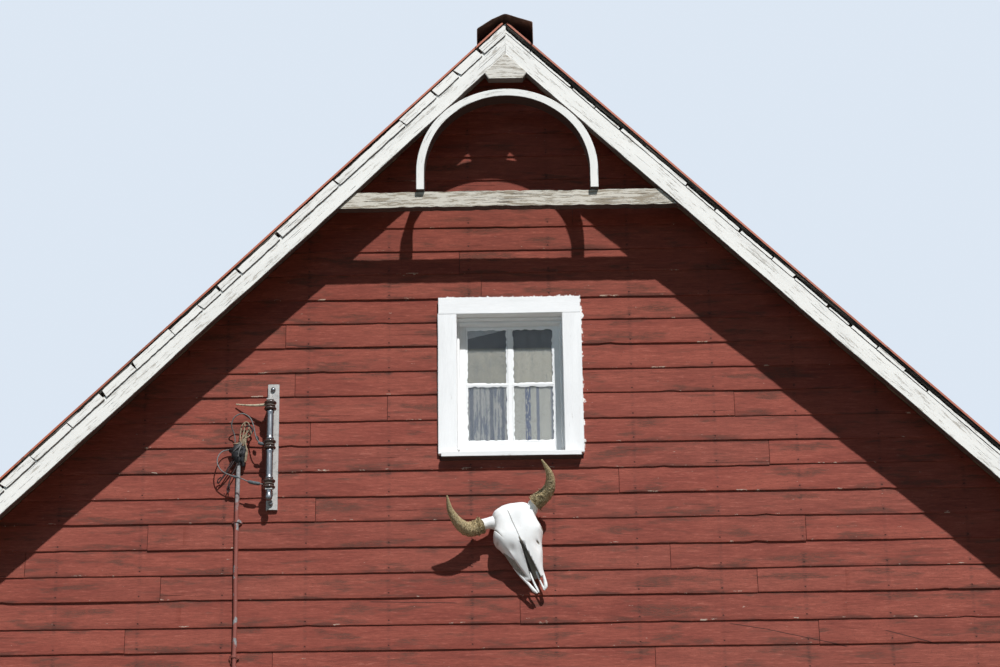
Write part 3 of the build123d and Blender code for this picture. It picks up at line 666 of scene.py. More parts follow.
def bleached_bone(name, skull=False):
    """Sun-bleached bone; the board number is how far a point lies in a crack or hollow, which is
    painted darker with that depth as painted shade.

    On the skull, u is the way down from the poll and v the way across, and its seam, nasal opening with
    a painted shadow on its left side, left flank in painted shade and orbit crease are drawn along
    straight lines of u and v.
    """
    f = Finish(name)
    place = f.place()
    u, v, hollow = f.along_board()
    pore = f.noise(place, scale=210.0, detail=5.0, roughness=0.7)
    cloud = f.noise(place, scale=16.0, detail=5.0)
    vein = f.step(f.noise(place, scale=38.0, detail=7.0, roughness=0.7), 0.60, 0.70)
    white = f.mix(f.step(cloud, 0.5, 0.8), (0.92, 0.92, 0.91), (0.84, 0.83, 0.80))
    white = f.mix(vein * 0.08, white, (0.46, 0.43, 0.38))
    # Painted shade: hollows and cracks darken with their depth, the deepest to near black
    white = f.mix(f.step(hollow, 0.0, 0.45), white, (0.36, 0.315, 0.255))
    white = f.mix(f.step(hollow, 0.45, 0.9), white, (0.07, 0.055, 0.045))
    if skull:
        drift = (cloud - 0.5) * 0.006
        seam = f.step(abs(v + 0.0285 - u * 0.066 + drift), 0.0026, 0.0010)
        seam = seam * f.step(u, -0.012, -0.002) * f.step(u, 0.150, 0.140)
        off_slit = v + 0.0320 - u * 0.084
        half = u * 0.107 - 0.0120
        slit = f.step(abs(off_slit) - half, 0.0012, -0.0008) * f.step(u, 0.138, 0.146)
        shade = f.step(off_slit + half * 0.25, 0.003, -0.003)
        inner = f.maths("MINIMUM", u * 0.62 - 0.2220, u * 0.34 - 0.1560)
        flank = f.step(v - inner + drift, 0.0015, -0.0015)
        flank = flank * f.step(u, 0.170, 0.186) * f.step(u, 0.335, 0.315)
        ribs = f.noise(f.join(u * 90.0, v * 420.0, 0.0), detail=3.0)
        crease = f.step(abs(v + 0.146 - u * 0.43 + drift), 0.0028, 0.0010)
        crease = crease * f.step(u, 0.042, 0.052) * f.step(u, 0.120, 0.108)
        # Painted shade: the left flank, turned away from the key light, is painted grey-brown with
        # wrinkles
        flank_shade = f.mix(f.step(ribs, 0.42, 0.6), (0.38, 0.34, 0.28), (0.14, 0.12, 0.095))
        white = f.mix(flank * 0.9, white, flank_shade)
        white = f.mix(slit, white, f.mix(shade, (0.24, 0.21, 0.17), (0.030, 0.024, 0.020)))
        white = f.mix(f.larger(seam * 0.85, crease * 0.75), white, (0.10, 0.085, 0.07))
    height = pore * 0.5 + cloud * 0.4 - vein * 0.4
    return f.coat(white, 0.6, height, 0.0010, Specular_IOR_Level=0.3)


def horn_sheath(name):
    """Olive-tan horn, ringed and flaking at the base, smoother and darker at the tip."""
    f = Finish(name)
    u, v, _ = f.along_board()
    place = f.place()
    ring = f.noise(f.join(u * 95.0, v * 4.0, 0.0), detail=4.0)
    flake = f.noise(place, scale=110.0, detail=6.0, roughness=0.75)
    fine = f.noise(place, scale=260.0, detail=3.0)
    tone = f.mix(f.step(flake, 0.42, 0.56), (0.85, 0.66, 0.36), (0.42, 0.30, 0.14))
    tone = f.mix(f.step(fine + flake * 0.5, 0.78, 0.88), tone, (0.90, 0.76, 0.48))
    tone = f.mix(f.step(fine, 0.46, 0.38) * 0.5, tone, (0.060, 0.042, 0.020))
    tone = f.mix(f.step(u, 0.17, 0.28) * 0.5, tone, (0.62, 0.49, 0.25))
    return f.coat(tone, 0.66, flake + ring * 0.6 + fine * 0.4, 0.016)


# Finishes

siding_red = red_boards("worn_red_siding")
gable_red = red_boards("worn_red_gable_siding", upper_gable=True)
fresh_white = white_boards("fresh_white_trim", (0.92, 0.92, 0.915), (0.60, 0.57, 0.52),
                           wear=0.04, cracks=0.0, undersides=False)
sill_white = white_boards("sill_white", (0.90, 0.90, 0.89), (0.60, 0.57, 0.52),
                          wear=0.06, cracks=0.02)
aged_white = white_boards("weathered_white_trim", (0.87, 0.855, 0.81), (0.42, 0.385, 0.33),
                          wear=0.125, cracks=0.075)
beam_white = white_boards("bleached_beam", (0.62, 0.575, 0.49), (0.27, 0.215, 0.15),
                          wear=0.19, cracks=0.10)
peak_white = white_boards("peak_boards", (0.70, 0.665, 0.60), (0.30, 0.25, 0.19),
                          wear=0.18, cracks=0.08)
arch_white = white_boards("arch_white", (0.86, 0.85, 0.81), (0.42, 0.385, 0.33),
                          wear=0.08, cracks=0.045, bare_inside=8.16)
plain_white = white_boards("white_paint", (0.72, 0.71, 0.67), (0.36, 0.33, 0.28),
                           wear=0.10, cracks=0.03, on_board=False)
raw_timber = timber("sawn_timber", (0.30, 0.22, 0.14))
wall_sheathing = timber("sheathing_and_plaster", (0.16, 0.055, 0.045))
field_stone = stones("field_stone", (0.36, 0.34, 0.31), (0.19, 0.175, 0.16), (0.42, 0.39, 0.34))
step_stone = stones("step_stone", (0.42, 0.40, 0.37), (0.27, 0.255, 0.235), (0.42, 0.39, 0.34))
roof_red = metal_paint("faded_roof_metal", (0.43, 0.105, 0.045), (0.16, 0.055, 0.03),
                       rust_share=0.10, roughness=0.45)
cap_brown = metal_paint("rusted_cap", (0.22, 0.125, 0.090), (0.12, 0.066, 0.048),
                        rust_share=0.24, roughness=0.75)
dark_shingles = shingle_wood("weathered_shingles")
rack_zinc = zinc("dull_zinc", (0.48, 0.47, 0.45), rust_share=0.05, metallic=0.0)
sleeve_steel = zinc("dark_steel", (0.22, 0.225, 0.235), rust_share=0.0, metallic=1.0, rough=0.20)
dark_tape = jacket("dark_tape", (0.014, 0.013, 0.015))
tan_rope = jacket("tan_rope", (0.36, 0.28, 0.18))
pale_twine = jacket("pale_twine", (0.66, 0.56, 0.40))
red_wire = jacket("dark_red_wire", (0.030, 0.011, 0.010))
rusty_wire = jacket("rusty_wire", (0.17, 0.13, 0.105))
splice_grey = jacket("splice_sleeve", (0.105, 0.125, 0.135))
brown_glaze = glaze("brown_glaze", (0.030, 0.016, 0.012), (0.085, 0.042, 0.028), gloss=0.16)
grey_jacket = jacket("grey_jacket", (0.20, 0.195, 0.19))
cable_paint = jacket("painted_cable", (0.34, 0.33, 0.33), painted=(0.25, 0.068, 0.050),
                     painted_below=6.50)
light_glass = old_glass("old_glass")
faded_cloth = curtain_cloth("faded_curtain")
white_bone = bleached_bone("bleached_bone")
skull_bone = bleached_bone("skull_bone", skull=True)
tan_horn = horn_sheath("horn_sheath")

NODE_FINISHES = {
    "foundation": field_stone, "front_steps": step_stone, "back_steps": step_stone,
    "ground_floor": raw_timber, "upper_floor": raw_timber, "attic_floor": raw_timber,
    "left_rafters": raw_timber, "right_rafters": raw_timber, "ridge_board": raw_timber,
    "left_roof_deck": raw_timber, "right_roof_deck": raw_timber,
    "front_wall": wall_sheathing, "back_wall": wall_sheathing,
    "left_wall": wall_sheathing, "right_wall": wall_sheathing,
    "front_door": plain_white, "back_door": plain_white, "eaves_blocking": plain_white,
    "service_head": rack_zinc, "attic_window_glass": light_glass,
}
for wall in WALL_TURNS:
    NODE_FINISHES[f"{wall}_window_glass"] = light_glass
for node, finish in NODE_FINISHES.items():
    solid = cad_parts[node]
    if not solid.material_slots:
        solid.data.materials.append(finish.material)
    for held in solid.material_slots:
        held.material = finish.material


# Camera at the photograph's place, looking up at the gable

PITCH = math.radians(23.0)
ROLL = math.radians(0.85)
DISTANCE = 14.82
EYE_LEVEL = 1.6
CAMERA_PLACE = Vector((-0.048, -4.512 - DISTANCE * math.cos(PITCH), EYE_LEVEL))

camera_data = bpy.data.cameras.new("gable_camera")
camera_data.lens = 105.6
camera_data.sensor_width = 36.0
camera_data.clip_end = 300.0
camera = bpy.data.objects.new("gable_camera", camera_data)
ahead = Vector((0.0, math.cos(PITCH), math.sin(PITCH)))
level = Vector((1.0, 0.0, 0.0))
above = level.cross(ahead)
camera_right = level * math.cos(ROLL) - above * math.sin(ROLL)
camera_up = above * math.cos(ROLL) + level * math.sin(ROLL)
turn = Matrix((camera_right, camera_up, -ahead)).transposed().to_4x4()
camera.matrix_world = Matrix.Translation(CAMERA_PLACE) @ turn
bpy.context.scene.collection.objects.link(camera)
bpy.context.scene.camera = camera
bpy.context.scene.view_settings.view_transform = "Standard"


# Light: a sharp high key from the front right, weak fills on the other sides, a pale world

def add_sun(name, towards, strength, softness, color=(1.0, 1.0, 1.0)):
    """A sun lamp that stands towards a direction; softness is its width in degrees."""
    lamp = bpy.data.lights.new(name, "SUN")
    lamp.energy = strength
    lamp.color = color
    lamp.angle = math.radians(softness)
    sun = bpy.data.objects.new(name, lamp)
    sun.rotation_mode = "QUATERNION"
    sun.rotation_quaternion = Vector(towards).to_track_quat("Z", "Y")
    bpy.context.scene.collection.objects.link(sun)


add_sun("key", (0.315, -1.0, 1.06), 4.0, 1.2)
add_sun("fill_front", (-0.25, -1.0, -0.30), 1.0, 50.0, (0.18, 0.52, 0.77))
add_sun("fill_back_left", (-0.9, 0.8, 0.6), 1.5, 12.0)
add_sun("fill_back_right", (1.0, 0.35, 0.5), 1.1, 12.0)

world = bpy.data.worlds.new("studio")
bpy.context.scene.world = world
world.use_nodes = True
sky = Nodes(world.node_tree)
camera_ray, glossy_ray, glass_ray = (
    sky.node("ShaderNodeLightPath", output=ray)
    for ray in ("Is Camera Ray", "Is Glossy Ray", "Is Transmission Ray"))
seen = sky.larger(sky.larger(camera_ray, glossy_ray), glass_ray)
sky.feed(sky.tree.nodes["Background"].inputs["Color"],
         sky.mix(seen, (0.012, 0.018, 0.030), (0.72, 0.80, 0.90)))

floor_finish = Finish("pale_floor")
seen = floor_finish.node("ShaderNodeLightPath", output="Is Camera Ray")
floor_finish.coat(floor_finish.mix(seen, (0.17, 0.152, 0.125), (0.50, 0.505, 0.51)), 0.9)
floor_mesh = bpy.data.meshes.new("studio_floor")
FLOOR_HALF = 60.0
floor_mesh.from_pydata([(x * FLOOR_HALF, y * FLOOR_HALF, 0)
                        for x, y in ((-1, -1), (1, -1), (1, 1), (-1, 1))], [], [(0, 1, 2, 3)])
floor_mesh.materials.append(floor_finish.material)
studio_floor = bpy.data.objects.new("studio_floor", floor_mesh)
bpy.context.scene.collection.objects.link(studio_floor)


# Cords: the two service wires between the head and the lower insulators

CABLE_X, CABLE_TOP = -1.354, 6.7397
WIRE = 0.006


def service_wire(name, node, route):
    """A stiff wire on one NURBS spline through the route's control points."""
    curve = bpy.data.curves.new(name, "CURVE")
    curve.dimensions = "3D"
    curve.bevel_depth = WIRE / 2
    curve.bevel_resolution = 3
    curve.use_fill_caps = True
    spline = curve.splines.new("NURBS")
    spline.points.add(len(route) - 1)
    for point, (x, y, z) in zip(spline.points, route):
        point.co = (CABLE_X + x / 1000, -HALF_LENGTH + y / 1000, CABLE_TOP + z / 1000, 1.0)
    spline.order_u = 3
    spline.use_endpoint_u = True
    spline.resolution_u = 12
    curve.materials.append(grey_jacket.material)
    wire = bpy.data.objects.new(name, curve)
    bpy.context.scene.collection.objects.link(wire)
    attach(wire, "root")
    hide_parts(node)


service_wire("upper_wire", "upper_service_wire", [
    (-18, -34, 74), (-18, -34, 112), (-38, -62, 148), (-26, -80, 190), (16, -88, 212),
    (58, -92, 190), (78, -95, 142), (86, -96, 90), (102, -95, 50), (132, -95, 38)])
service_wire("lower_wire", "lower_service_wire", [
    (-32, -34, 36), (-74, -34, 36), (-98, -62, -4), (-102, -84, -50), (-82, -92, -94),
    (-40, -96, -120), (12, -96, -134), (67, -96, -162), (132, -95, -171)])


# Siding

class Opening:
    """A window or door between its jambs, on its wall plane; sill = (thickness, edge, inset)."""

    def __init__(self, x, bottom, width, height, sash_back=0.07, door=False,
                 sill=(0.062, 0.038, 0.0)):
        self.x, self.bottom, self.top = x, bottom, bottom + height
        self.left, self.right = x - width / 2, x + width / 2
        self.sash_back, self.door = sash_back, door
        self.sill, self.sill_edge, self.sill_inset = (0.04, 0.04, 0.0) if door else sill

    def cut(self):
        """The rectangle that the siding leaves free, outside the casing and sill."""
        return self.left - CASING, self.right + CASING, self.bottom - self.sill, self.top + CASING


WINDOW_WIDTH = 0.78

# Sill height and window height of each storey
STOREYS = ((1.30, 1.40), (3.84, 1.22))


def windows_along(places):
    """A window at each place in both storeys."""
    return [Opening(x, bottom, WINDOW_WIDTH, height) for x in places for bottom, height in STOREYS]


ATTIC = Opening(x=0.0, bottom=6.7947, width=0.534, height=0.702, sash_back=0.099,
                sill=(0.085, 0.030, 0.011))
DOOR = Opening(x=0.0, bottom=0.60, width=0.90, height=2.10, door=True)
WALL_WINDOWS = {
    "front": windows_along((-2.1, 2.1)), "back": windows_along((-2.1, 2.1)),
    "left": windows_along((-2.7, 0.0, 2.7)), "right": windows_along((-2.7, 0.0, 2.7)),
}

# Courses of siding whose butt joint shows, with its x
SEEN_JOINTS = {41: 0.03, 42: 1.19, 43: 0.77, 44: 1.44, 45: -0.97, 46: 0.53, 47: 1.28,
               48: -1.0, 50: -1.08, 52: -1.13, 54: -0.14, 55: -0.25}

# Least and greatest length of boards beside a seen joint and elsewhere, and numbers of courses
LONG_BOARDS, SHORT_BOARDS = (2.9, 4.8), (1.7, 3.6)
FIRST_GABLE_COURSE, GABLE_COURSES, SIDE_COURSES = 33, 65, 39


def lap_line(course):
    """The height of a course's butt line: even steps that drift by a slight sine."""
    return LAP_START + EXPOSURE * course + 0.0035 * math.sin(course * 2.4 + 0.8)


def course_joints(seed, course, half, seen):
    """Where the boards of a course meet: at the seen place, and a random board length apart."""
    rng = np.random.default_rng(seed * 1000 + course)
    first = seen if seen is not None else rng.uniform(-1.6, 1.6)
    joints = [first]
    for way in (-1, 1):
        place = first + way * rng.uniform(*(LONG_BOARDS if seen is not None else SHORT_BOARDS))
        while abs(place) < half - 0.35:
            joints.append(place)
            place += way * rng.uniform(*SHORT_BOARDS)
    return sorted(j for j in joints if abs(j) < half - 0.3)


def half_span(wall, z):
    """How far the siding of a wall reaches from its middle at the height z."""
    if wall in GABLE_WALLS:
        return np.minimum(CORNER_EDGE, DECK_APEX - 0.006 - z)
    return np.full_like(z, HALF_LENGTH - 0.117)


def siding_strip(wall, x0, x1, course, low, high, step, lean, number, seed, lap):
    """One stretch of a lapped board, thick at its butt, thin where the next one covers it.

    z = low + rows * (high - low), lowered and chipped along the butt; the face comes out by
    BUTT_OUT at the butt and falls evenly to LAP_OUT under the next lap line.
    """
    rows = np.array([0.0, 0.0, 0.035, 0.2, 0.62, 1.0, 1.0, 0.5])
    front = np.array([0, 1, 1, 1, 1, 1, 0, 0])
    count = max(2, int((x1 - x0) / step) + 1)
    share = np.linspace(0, 1, count)[:, None]
    x = x0 + (x1 - x0) * share
    base = np.full_like(x, low)
    if lap:
        base = base + wander(x, seed + course, 1.9, 0.0015)
        base = base + chips(x, seed + 500 + course, 0.021, 0.30, 0.0016)
        base = base + chips(x, seed + 900 + course, 0.05, 0.025, 0.008)
        base = base + (number - 0.5) * 0.006
    z = base + rows * (high - base)
    left = np.maximum(x0, -half_span(wall, z))
    right = np.minimum(x1, half_span(wall, z))
    x = left + (right - left) * share
    fall = (BUTT_OUT - LAP_OUT) * ((z - lap_line(course)) / EXPOSURE)
    out = BUTT_OUT + lean + wander(x, seed + 300 + course, 1.4, 0.0012) - fall
    out = np.where(front > 0, out, -0.003)
    out[:, 1] -= 0.0012
    grid = np.stack([x, -out, z], -1)
    uv = np.stack([x, z - lap_line(course)], -1)
    return skin(grid, uv, number)


def siding(wall, courses, step, seed, openings):
    """All boards of some courses of one wall, notched round its openings."""
    wall_top = DECK_APEX - 0.05 if wall in GABLE_WALLS else EAVES_SIDING_TOP
    gap = 0.0012
    cuts = [o.cut() for o in openings]
    skins = []
    for course in courses:
        low = lap_line(course) if course else SIDING_FOOT
        high = min(lap_line(course + 1) + LAP_COVER, wall_top)
        if high - low < 0.02:
            continue
        half = float(half_span(wall, np.array([low]))[0])
        seen = SEEN_JOINTS.get(course) if wall == "front" else None
        ends = [-half] + course_joints(seed, course, half, seen) + [half]
        rng = np.random.default_rng(seed * 77 + course)
        for left, right in zip(ends, ends[1:]):
            number, lean = rng.random(), rng.uniform(-0.0013, 0.0013)
            x0, x1 = left + gap * (left > -half), right - gap * (right < half)
            marks = sorted({x0, x1} | {x for c in cuts for x in c[:2] if x0 < x < x1})
            for a, b in zip(marks, marks[1:]):
                bottom, top = low, high
                for c0, c1, c2, c3 in cuts:
                    if c0 < (a + b) / 2 < c1 and c2 < top and c3 > bottom:
                        if c2 > bottom + 0.004:
                            top = c2
                        else:
                            bottom = c3
                if top - bottom > 0.006:
                    skins.append(siding_strip(wall, a, b, course, bottom, top, step, lean,
                                              number, seed, bottom == low))
    return on_wall(wall, skins)


for name, wall, courses, step, seed, finish in (
        ("front_gable_siding", "front", range(FIRST_GABLE_COURSE, GABLE_COURSES), 0.03, 11, gable_red),
        ("front_lower_siding", "front", range(FIRST_GABLE_COURSE), 0.07, 11, siding_red),
        ("back_siding", "back", range(GABLE_COURSES), 0.09, 23, siding_red),
        ("left_siding", "left", range(SIDE_COURSES), 0.09, 31, siding_red),
        ("right_siding", "right", range(SIDE_COURSES), 0.09, 47, siding_red)):
    openings = WALL_WINDOWS[wall] + ([ATTIC, DOOR] if wall in GABLE_WALLS else [])
    piece(name, siding(wall, courses, step, seed, openings), finish, "red_siding")


# Casings, sashes and bars

def opening_trim(o, seed, side_width=CASING):
    """Head and side casings, linings, and sill of one window or door."""
    left, right, low, top = o.cut()
    foot = low + o.sill_edge
    kept = {"step": 0.06, "wave": 0.0012, "rough": 0.0006, "radius": 0.0025}
    up, across, deep = (0, 0, 1), (1, 0, 0), (0, 1, 0)
    lining_left, lining_right = o.left - LINING, o.right + LINING
    head = top - CASING / 2
    skins = [board((left, -CASING_THICK / 2, head), (right, -CASING_THICK / 2, head), up,
                   CASING, CASING_THICK, seed=seed, **kept)]
    for index, (edge, way) in enumerate(((o.left, -1), (o.right, 1))):
        x = edge + way * side_width / 2
        skins.append(board((x, -0.0168, foot), (x, -0.0168, o.top), across,
                           side_width, 0.0335, seed=seed + 7 + index, **kept))
        x = edge + way * LINING / 2
        skins.append(board((x, LINING_Y, o.bottom), (x, LINING_Y, o.top), deep,
                           LINING_DEEP, LINING, seed=seed + 17 + index, **kept))
    z = o.top + LINING / 2
    skins.append(board((lining_left, LINING_Y, z), (lining_right, LINING_Y, z), deep,
                       LINING_DEEP, LINING, seed=seed + 27, **kept))
    if o.door:
        z = o.bottom - 0.02
        skins.append(board((lining_left, 0.0675, z), (lining_right, 0.0675, z), deep,
                           0.205, 0.04, seed=seed + 28, **kept))
        return skins
    middle = low + o.sill_edge / 2
    skins.append(board((left + o.sill_inset, -0.031, middle), (right - o.sill_inset, -0.031, middle),
                       deep, 0.066, o.sill_edge, seed=seed + 29, step=0.04, wave=0.0015,
                       rough=0.0012, radius=0.004))
    slope = np.array([(0.0, -o.sill), (0.17, -o.sill), (0.17, 0.0), (o.sash_back, 0.0),
                      (0.0, o.sill_edge - o.sill), (0.0, 0.012 - o.sill)])
    skins.append(moulding((lining_left, 0.0, o.bottom), (lining_right, 0.0, o.bottom),
                          deep, slope, seed=seed + 31))
    return skins


def sash_skins(left, right, bottom, top, back, low_rail, high_rail, columns, rows, seed,
               stile=0.05, bar=0.020, cross_bar=0.020, putty=0.009, ragged=0.35, recess=0.0155,
               step=0.026):
    """Stiles, rails, bars and putty of one sash whose front face is back behind the wall.

    The glass lies recess behind that face, and ragged is how far the putty's edge is eaten.
    """
    thick = 0.035
    middle = back + thick / 2
    kept = {"step": max(0.04, 3 * step), "wave": 0.0008, "rough": 0.0010, "radius": 0.002}
    up, across = (0, 0, 1), (1, 0, 0)
    glass_left, glass_right = left + stile, right - stile
    glass_low, glass_high = bottom + low_rail, top - high_rail
    skins = []
    for index, x in enumerate((left + stile / 2, right - stile / 2)):
        skins.append(board((x, middle, bottom), (x, middle, top), across, stile, thick,
                           seed=seed + index, **kept))
    for index, (z, rail) in enumerate(((bottom + low_rail / 2, low_rail),
                                       (top - high_rail / 2, high_rail))):
        skins.append(board((glass_left, middle, z), (glass_right, middle, z), up, rail,
                           thick - 0.0005, seed=seed + 3 + index, **kept))
    xs = [glass_left + (glass_right - glass_left) * k / columns for k in range(columns + 1)]
    zs = [glass_low + (glass_high - glass_low) * k / rows for k in range(rows + 1)]
    inset, deep = (0.0045, 0.026) if recess > 0.01 else (0.0005, 0.0035)
    face = back + inset + deep / 2
    kept["radius"] = 0.001
    for index, x in enumerate(xs[1:-1]):
        skins.append(board((x, face, glass_low), (x, face, glass_high), across, bar, deep,
                           seed=seed + 11 + index, **kept))
    for index, z in enumerate(zs[1:-1]):
        skins.append(board((glass_left, face, z), (glass_right, face, z), up, cross_bar,
                           deep - 0.0004, seed=seed + 15 + index, **kept))
    glass = back + recess
    wedge = np.array([(0.0, 0.0), (0.0, -0.74 * recess), (putty * 0.45, -0.58 * recess),
                      (putty, -0.04 * recess)])
    thin = {"step": step, "wave": 0.0006, "rough": putty * ragged, "spacing": 1.2 * step}
    for i, (x0, x1) in enumerate(zip(xs, xs[1:])):
        for j, (z0, z1) in enumerate(zip(zs, zs[1:])):
            a = x0 + (bar / 2 if i else 0.0)
            b = x1 - (bar / 2 if i < columns - 1 else 0.0)
            c = z0 + (cross_bar / 2 if j else 0.0)
            d = z1 - (cross_bar / 2 if j < rows - 1 else 0.0)
            key = seed + 40 + 13 * i + 5 * j
            for index, (start, end, side, flip) in enumerate((
                    ((a, glass, c), (b, glass, c), up, -1),
                    ((a, glass, d), (b, glass, d), (0, 0, -1), 1),
                    ((a, glass, c), (a, glass, d), across, 1),
                    ((b, glass, c), (b, glass, d), (-1, 0, 0), -1))):
                skins.append(moulding(start, end, side, wedge * (1, flip), seed=key + index, **thin))
    return skins


def window_sashes(o, seed):
    """Upper and lower sash of a sliding window, each with three by two lights."""
    middle, overlap, step_back = (o.bottom + o.top) / 2, 0.02, 0.037
    return (sash_skins(o.left, o.right, middle - overlap, o.top, o.sash_back,
                       low_rail=0.04, high_rail=0.05, columns=3, rows=2, seed=seed)
            + sash_skins(o.left, o.right, o.bottom, middle + overlap, o.sash_back + step_back,
                         low_rail=0.06, high_rail=0.04, columns=3, rows=2, seed=seed + 200))


def attic_sash_skins(seed):
    """The attic window's one sash, with two by two lights and its glass far forward."""
    return sash_skins(ATTIC.left, ATTIC.right, ATTIC.bottom, ATTIC.top, ATTIC.sash_back,
                      low_rail=0.054, high_rail=0.033, columns=2, rows=2, seed=seed, stile=0.045,
                      bar=0.022, cross_bar=0.006, putty=0.0095, ragged=0.75, recess=0.004,
                      step=0.009)


for number, wall in enumerate(WALL_TURNS):
    openings = WALL_WINDOWS[wall] + ([DOOR] if wall in GABLE_WALLS else [])
    trims, sashes = [], []
    for index, o in enumerate(openings):
        trims += opening_trim(o, 1000 * number + 60 * index)
        if not o.door:
            sashes += window_sashes(o, 1000 * number + 60 * index)
    if wall == "back":
        trims += opening_trim(ATTIC, 5100)
        sashes += attic_sash_skins(5200)
    piece(f"{wall}_window_casings", on_wall(wall, trims), aged_white, "white_trim", f"{wall}_casings")
    piece(f"{wall}_window_sashes", on_wall(wall, sashes), aged_white, "white_trim", f"{wall}_sashes")


# Attic window

# Its skins in order: head, then casing and lining of each side, top lining, sill board, slope
trim = on_wall("front", opening_trim(ATTIC, 6100, side_width=0.096))
trim[0].points[:, 2] -= 0.005
piece("attic_casing_boards", [trim[0], trim[1], trim[3]], fresh_white, "white_trim",
      "attic_window_casing")
stops = []
for index, (x0, x1, y, z0, z1, width, thick) in enumerate((
        (ATTIC.left + 0.007, ATTIC.left + 0.007, 0.078, ATTIC.bottom, ATTIC.top, 0.042, 0.014),
        (ATTIC.right - 0.007, ATTIC.right - 0.007, 0.078, ATTIC.bottom, ATTIC.top, 0.042, 0.014),
        (ATTIC.left, ATTIC.right, 0.076, ATTIC.top - 0.011, ATTIC.top - 0.011, 0.044, 0.022),
        (ATTIC.left, ATTIC.right, 0.038, ATTIC.top - 0.006, ATTIC.top - 0.006, 0.026, 0.012))):
    stops.append(board((x0, y, z0), (x1, y, z1), (0, 1, 0), width, thick, radius=0.003, step=0.05,
                       wave=0.0008, rough=0.0006, seed=6200 + index))
piece("attic_linings_and_stops", [trim[k] for k in (2, 4, 5, 7)] + on_wall("front", stops),
      fresh_white, "white_trim", "attic_window_frame")
piece("attic_sill_board", [trim[6]], sill_white, "white_trim")
piece("attic_sash_bars", on_wall("front", attic_sash_skins(6300)), fresh_white, "white_trim",
      "attic_window_sash")


def curtain():
    """Hung cloth: y = middle + folds(x) that deepen downwards; its flat width is its x."""
    top, height = 7.463, 0.613
    x = np.linspace(-0.2205, 0.2205, 120)
    z = np.linspace(6.8497, top, 56)
    gx, gz = np.meshgrid(x, z, indexing="ij")
    drop = (top - gz) / height
    fold = wander(gx, 71, 0.105, 0.0022) + 0.0016 * np.sin(gx * 128 + 2.2 * drop)
    y = -4.3895 + fold * (0.5 + 0.5 * drop) + wander(gz, 75, 0.7, 0.0006)
    y = np.clip(y, -4.3922, -4.3812)
    points = np.stack([gx, y, gz], -1).reshape(-1, 3)
    rows = len(z)
    i, j = np.meshgrid(np.arange(len(x) - 1), np.arange(rows - 1), indexing="ij")
    i, j = i.ravel(), j.ravel()
    quads = np.stack([i * rows + j, (i + 1) * rows + j, (i + 1) * rows + j + 1, i * rows + j + 1], 1)
    flat = np.stack([gx.ravel(), gz.ravel() - z[0]], -1)
    cloth = Skin(points, quads, flat[quads], 0.0)
    # An open sheet has no inside to judge by, so its faces keep their own way round
    cloth.quads, cloth.uv = quads, flat[quads]
    hung = piece("attic_curtain", [cloth], faded_cloth, "cloth", "attic_window_curtain")
    gauge = hung.modifiers.new("cloth_gauge", "SOLIDIFY")
    gauge.thickness = 0.0008


curtain()


# Gable trim

def slope_point(side, along, apex, out, y):
    """A point on a roof line: along metres down from the apex, out metres square above it."""
    return (side * (along + out) * SLOPE, y, apex + (out - along) * SLOPE)


SLOPE_END = EAVES_END / SLOPE


def slope_board(side, first, last, apex, centre, width, y, thick, mitre, seed, **kept):
    """A board that follows a roof line of one slope between two distances from the apex."""
    start = slope_point(side, first, apex, centre, y)
    end = slope_point(side, last, apex, centre, y)
    return board(start, end, (side * SLOPE, 0, SLOPE), width, thick, mitre=mitre, seed=seed, **kept)


def gable_end(way, step):
    """Barge boards and rake pieces of the front (way -1) or back gable."""
    barges, rakes = [], []
    for side in (-1, 1):
        seed = 7000 + 31 * side + 400 * way
        barges.append(slope_board(side, -0.041, SLOPE_END - 0.042, apex=BARGE_APEX, centre=0.042,
                                  width=0.0955, y=way * (BARGE_FRONT - 0.016), thick=0.044,
                                  mitre=(-1.0, -1.0), seed=seed, step=step, wave=0.0022,
                                  rough=0.0018, radius=0.003))
        rng = np.random.default_rng(seed)
        place = -0.011
        while place < SLOPE_END - 0.05:
            length = rng.choice([0.15, 0.19, 0.24, 0.45]) * rng.uniform(0.85, 1.15)
            last = min(place + length, SLOPE_END - 0.01)
            if SLOPE_END - last < 0.4:
                last = SLOPE_END - 0.01
            lift = 0.016 if side < 0 else 0.0
            width = lift + (rng.uniform(0.023, 0.036) if side < 0 else rng.uniform(0.010, 0.027))
            rakes.append(slope_board(side, place, last - rng.uniform(0.003, 0.02), apex=DECK_APEX,
                                     centre=width / 2 - 0.002 - lift, width=width,
                                     y=way * (RAKE_FRONT - 0.0235 + lift * 0.4), thick=0.047,
                                     mitre=(-1.0 if place < 0 else 0.0, rng.uniform(-0.3, 0.3)),
                                     seed=seed + len(rakes) * 9, step=0.009, wave=0.0010,
                                     rough=0.0025, spacing=0.02, radius=0.002))
            place = last
    return barges, rakes


for wall, way, step in (("front", -1, 0.04), ("back", 1, 0.08)):
    barges, rakes = gable_end(way, step)
    piece(f"{wall}_barge_pair", barges, aged_white, "white_trim", f"{wall}_barge_boards")
    piece(f"{wall}_rake_pieces", rakes, aged_white, "white_trim", f"{wall}_rake_strips")

BEAM_TOP = BARGE_APEX - 0.773
BEAM_HEIGHT, BEAM_HALF = 0.089, 0.8165
beam_middle = BEAM_TOP - BEAM_HEIGHT / 2
piece("tie_beam", [board((-BEAM_HALF, -4.766, beam_middle), (BEAM_HALF, -4.766, beam_middle),
                         (0, 0, 1), BEAM_HEIGHT, 0.048, step=0.015, wave=0.0022, rough=0.0045,
                         spacing=0.024, mitre=(1.0, -1.0), seed=7301)],
      beam_white, "white_trim", "gable_beam")

ARCH_RADIUS, ARCH_BAND, ARCH_DEPTH = 0.4598, 0.042, 0.088
ARCH_CENTRE = BARGE_APEX - (0.460 + 0.013) / SLOPE


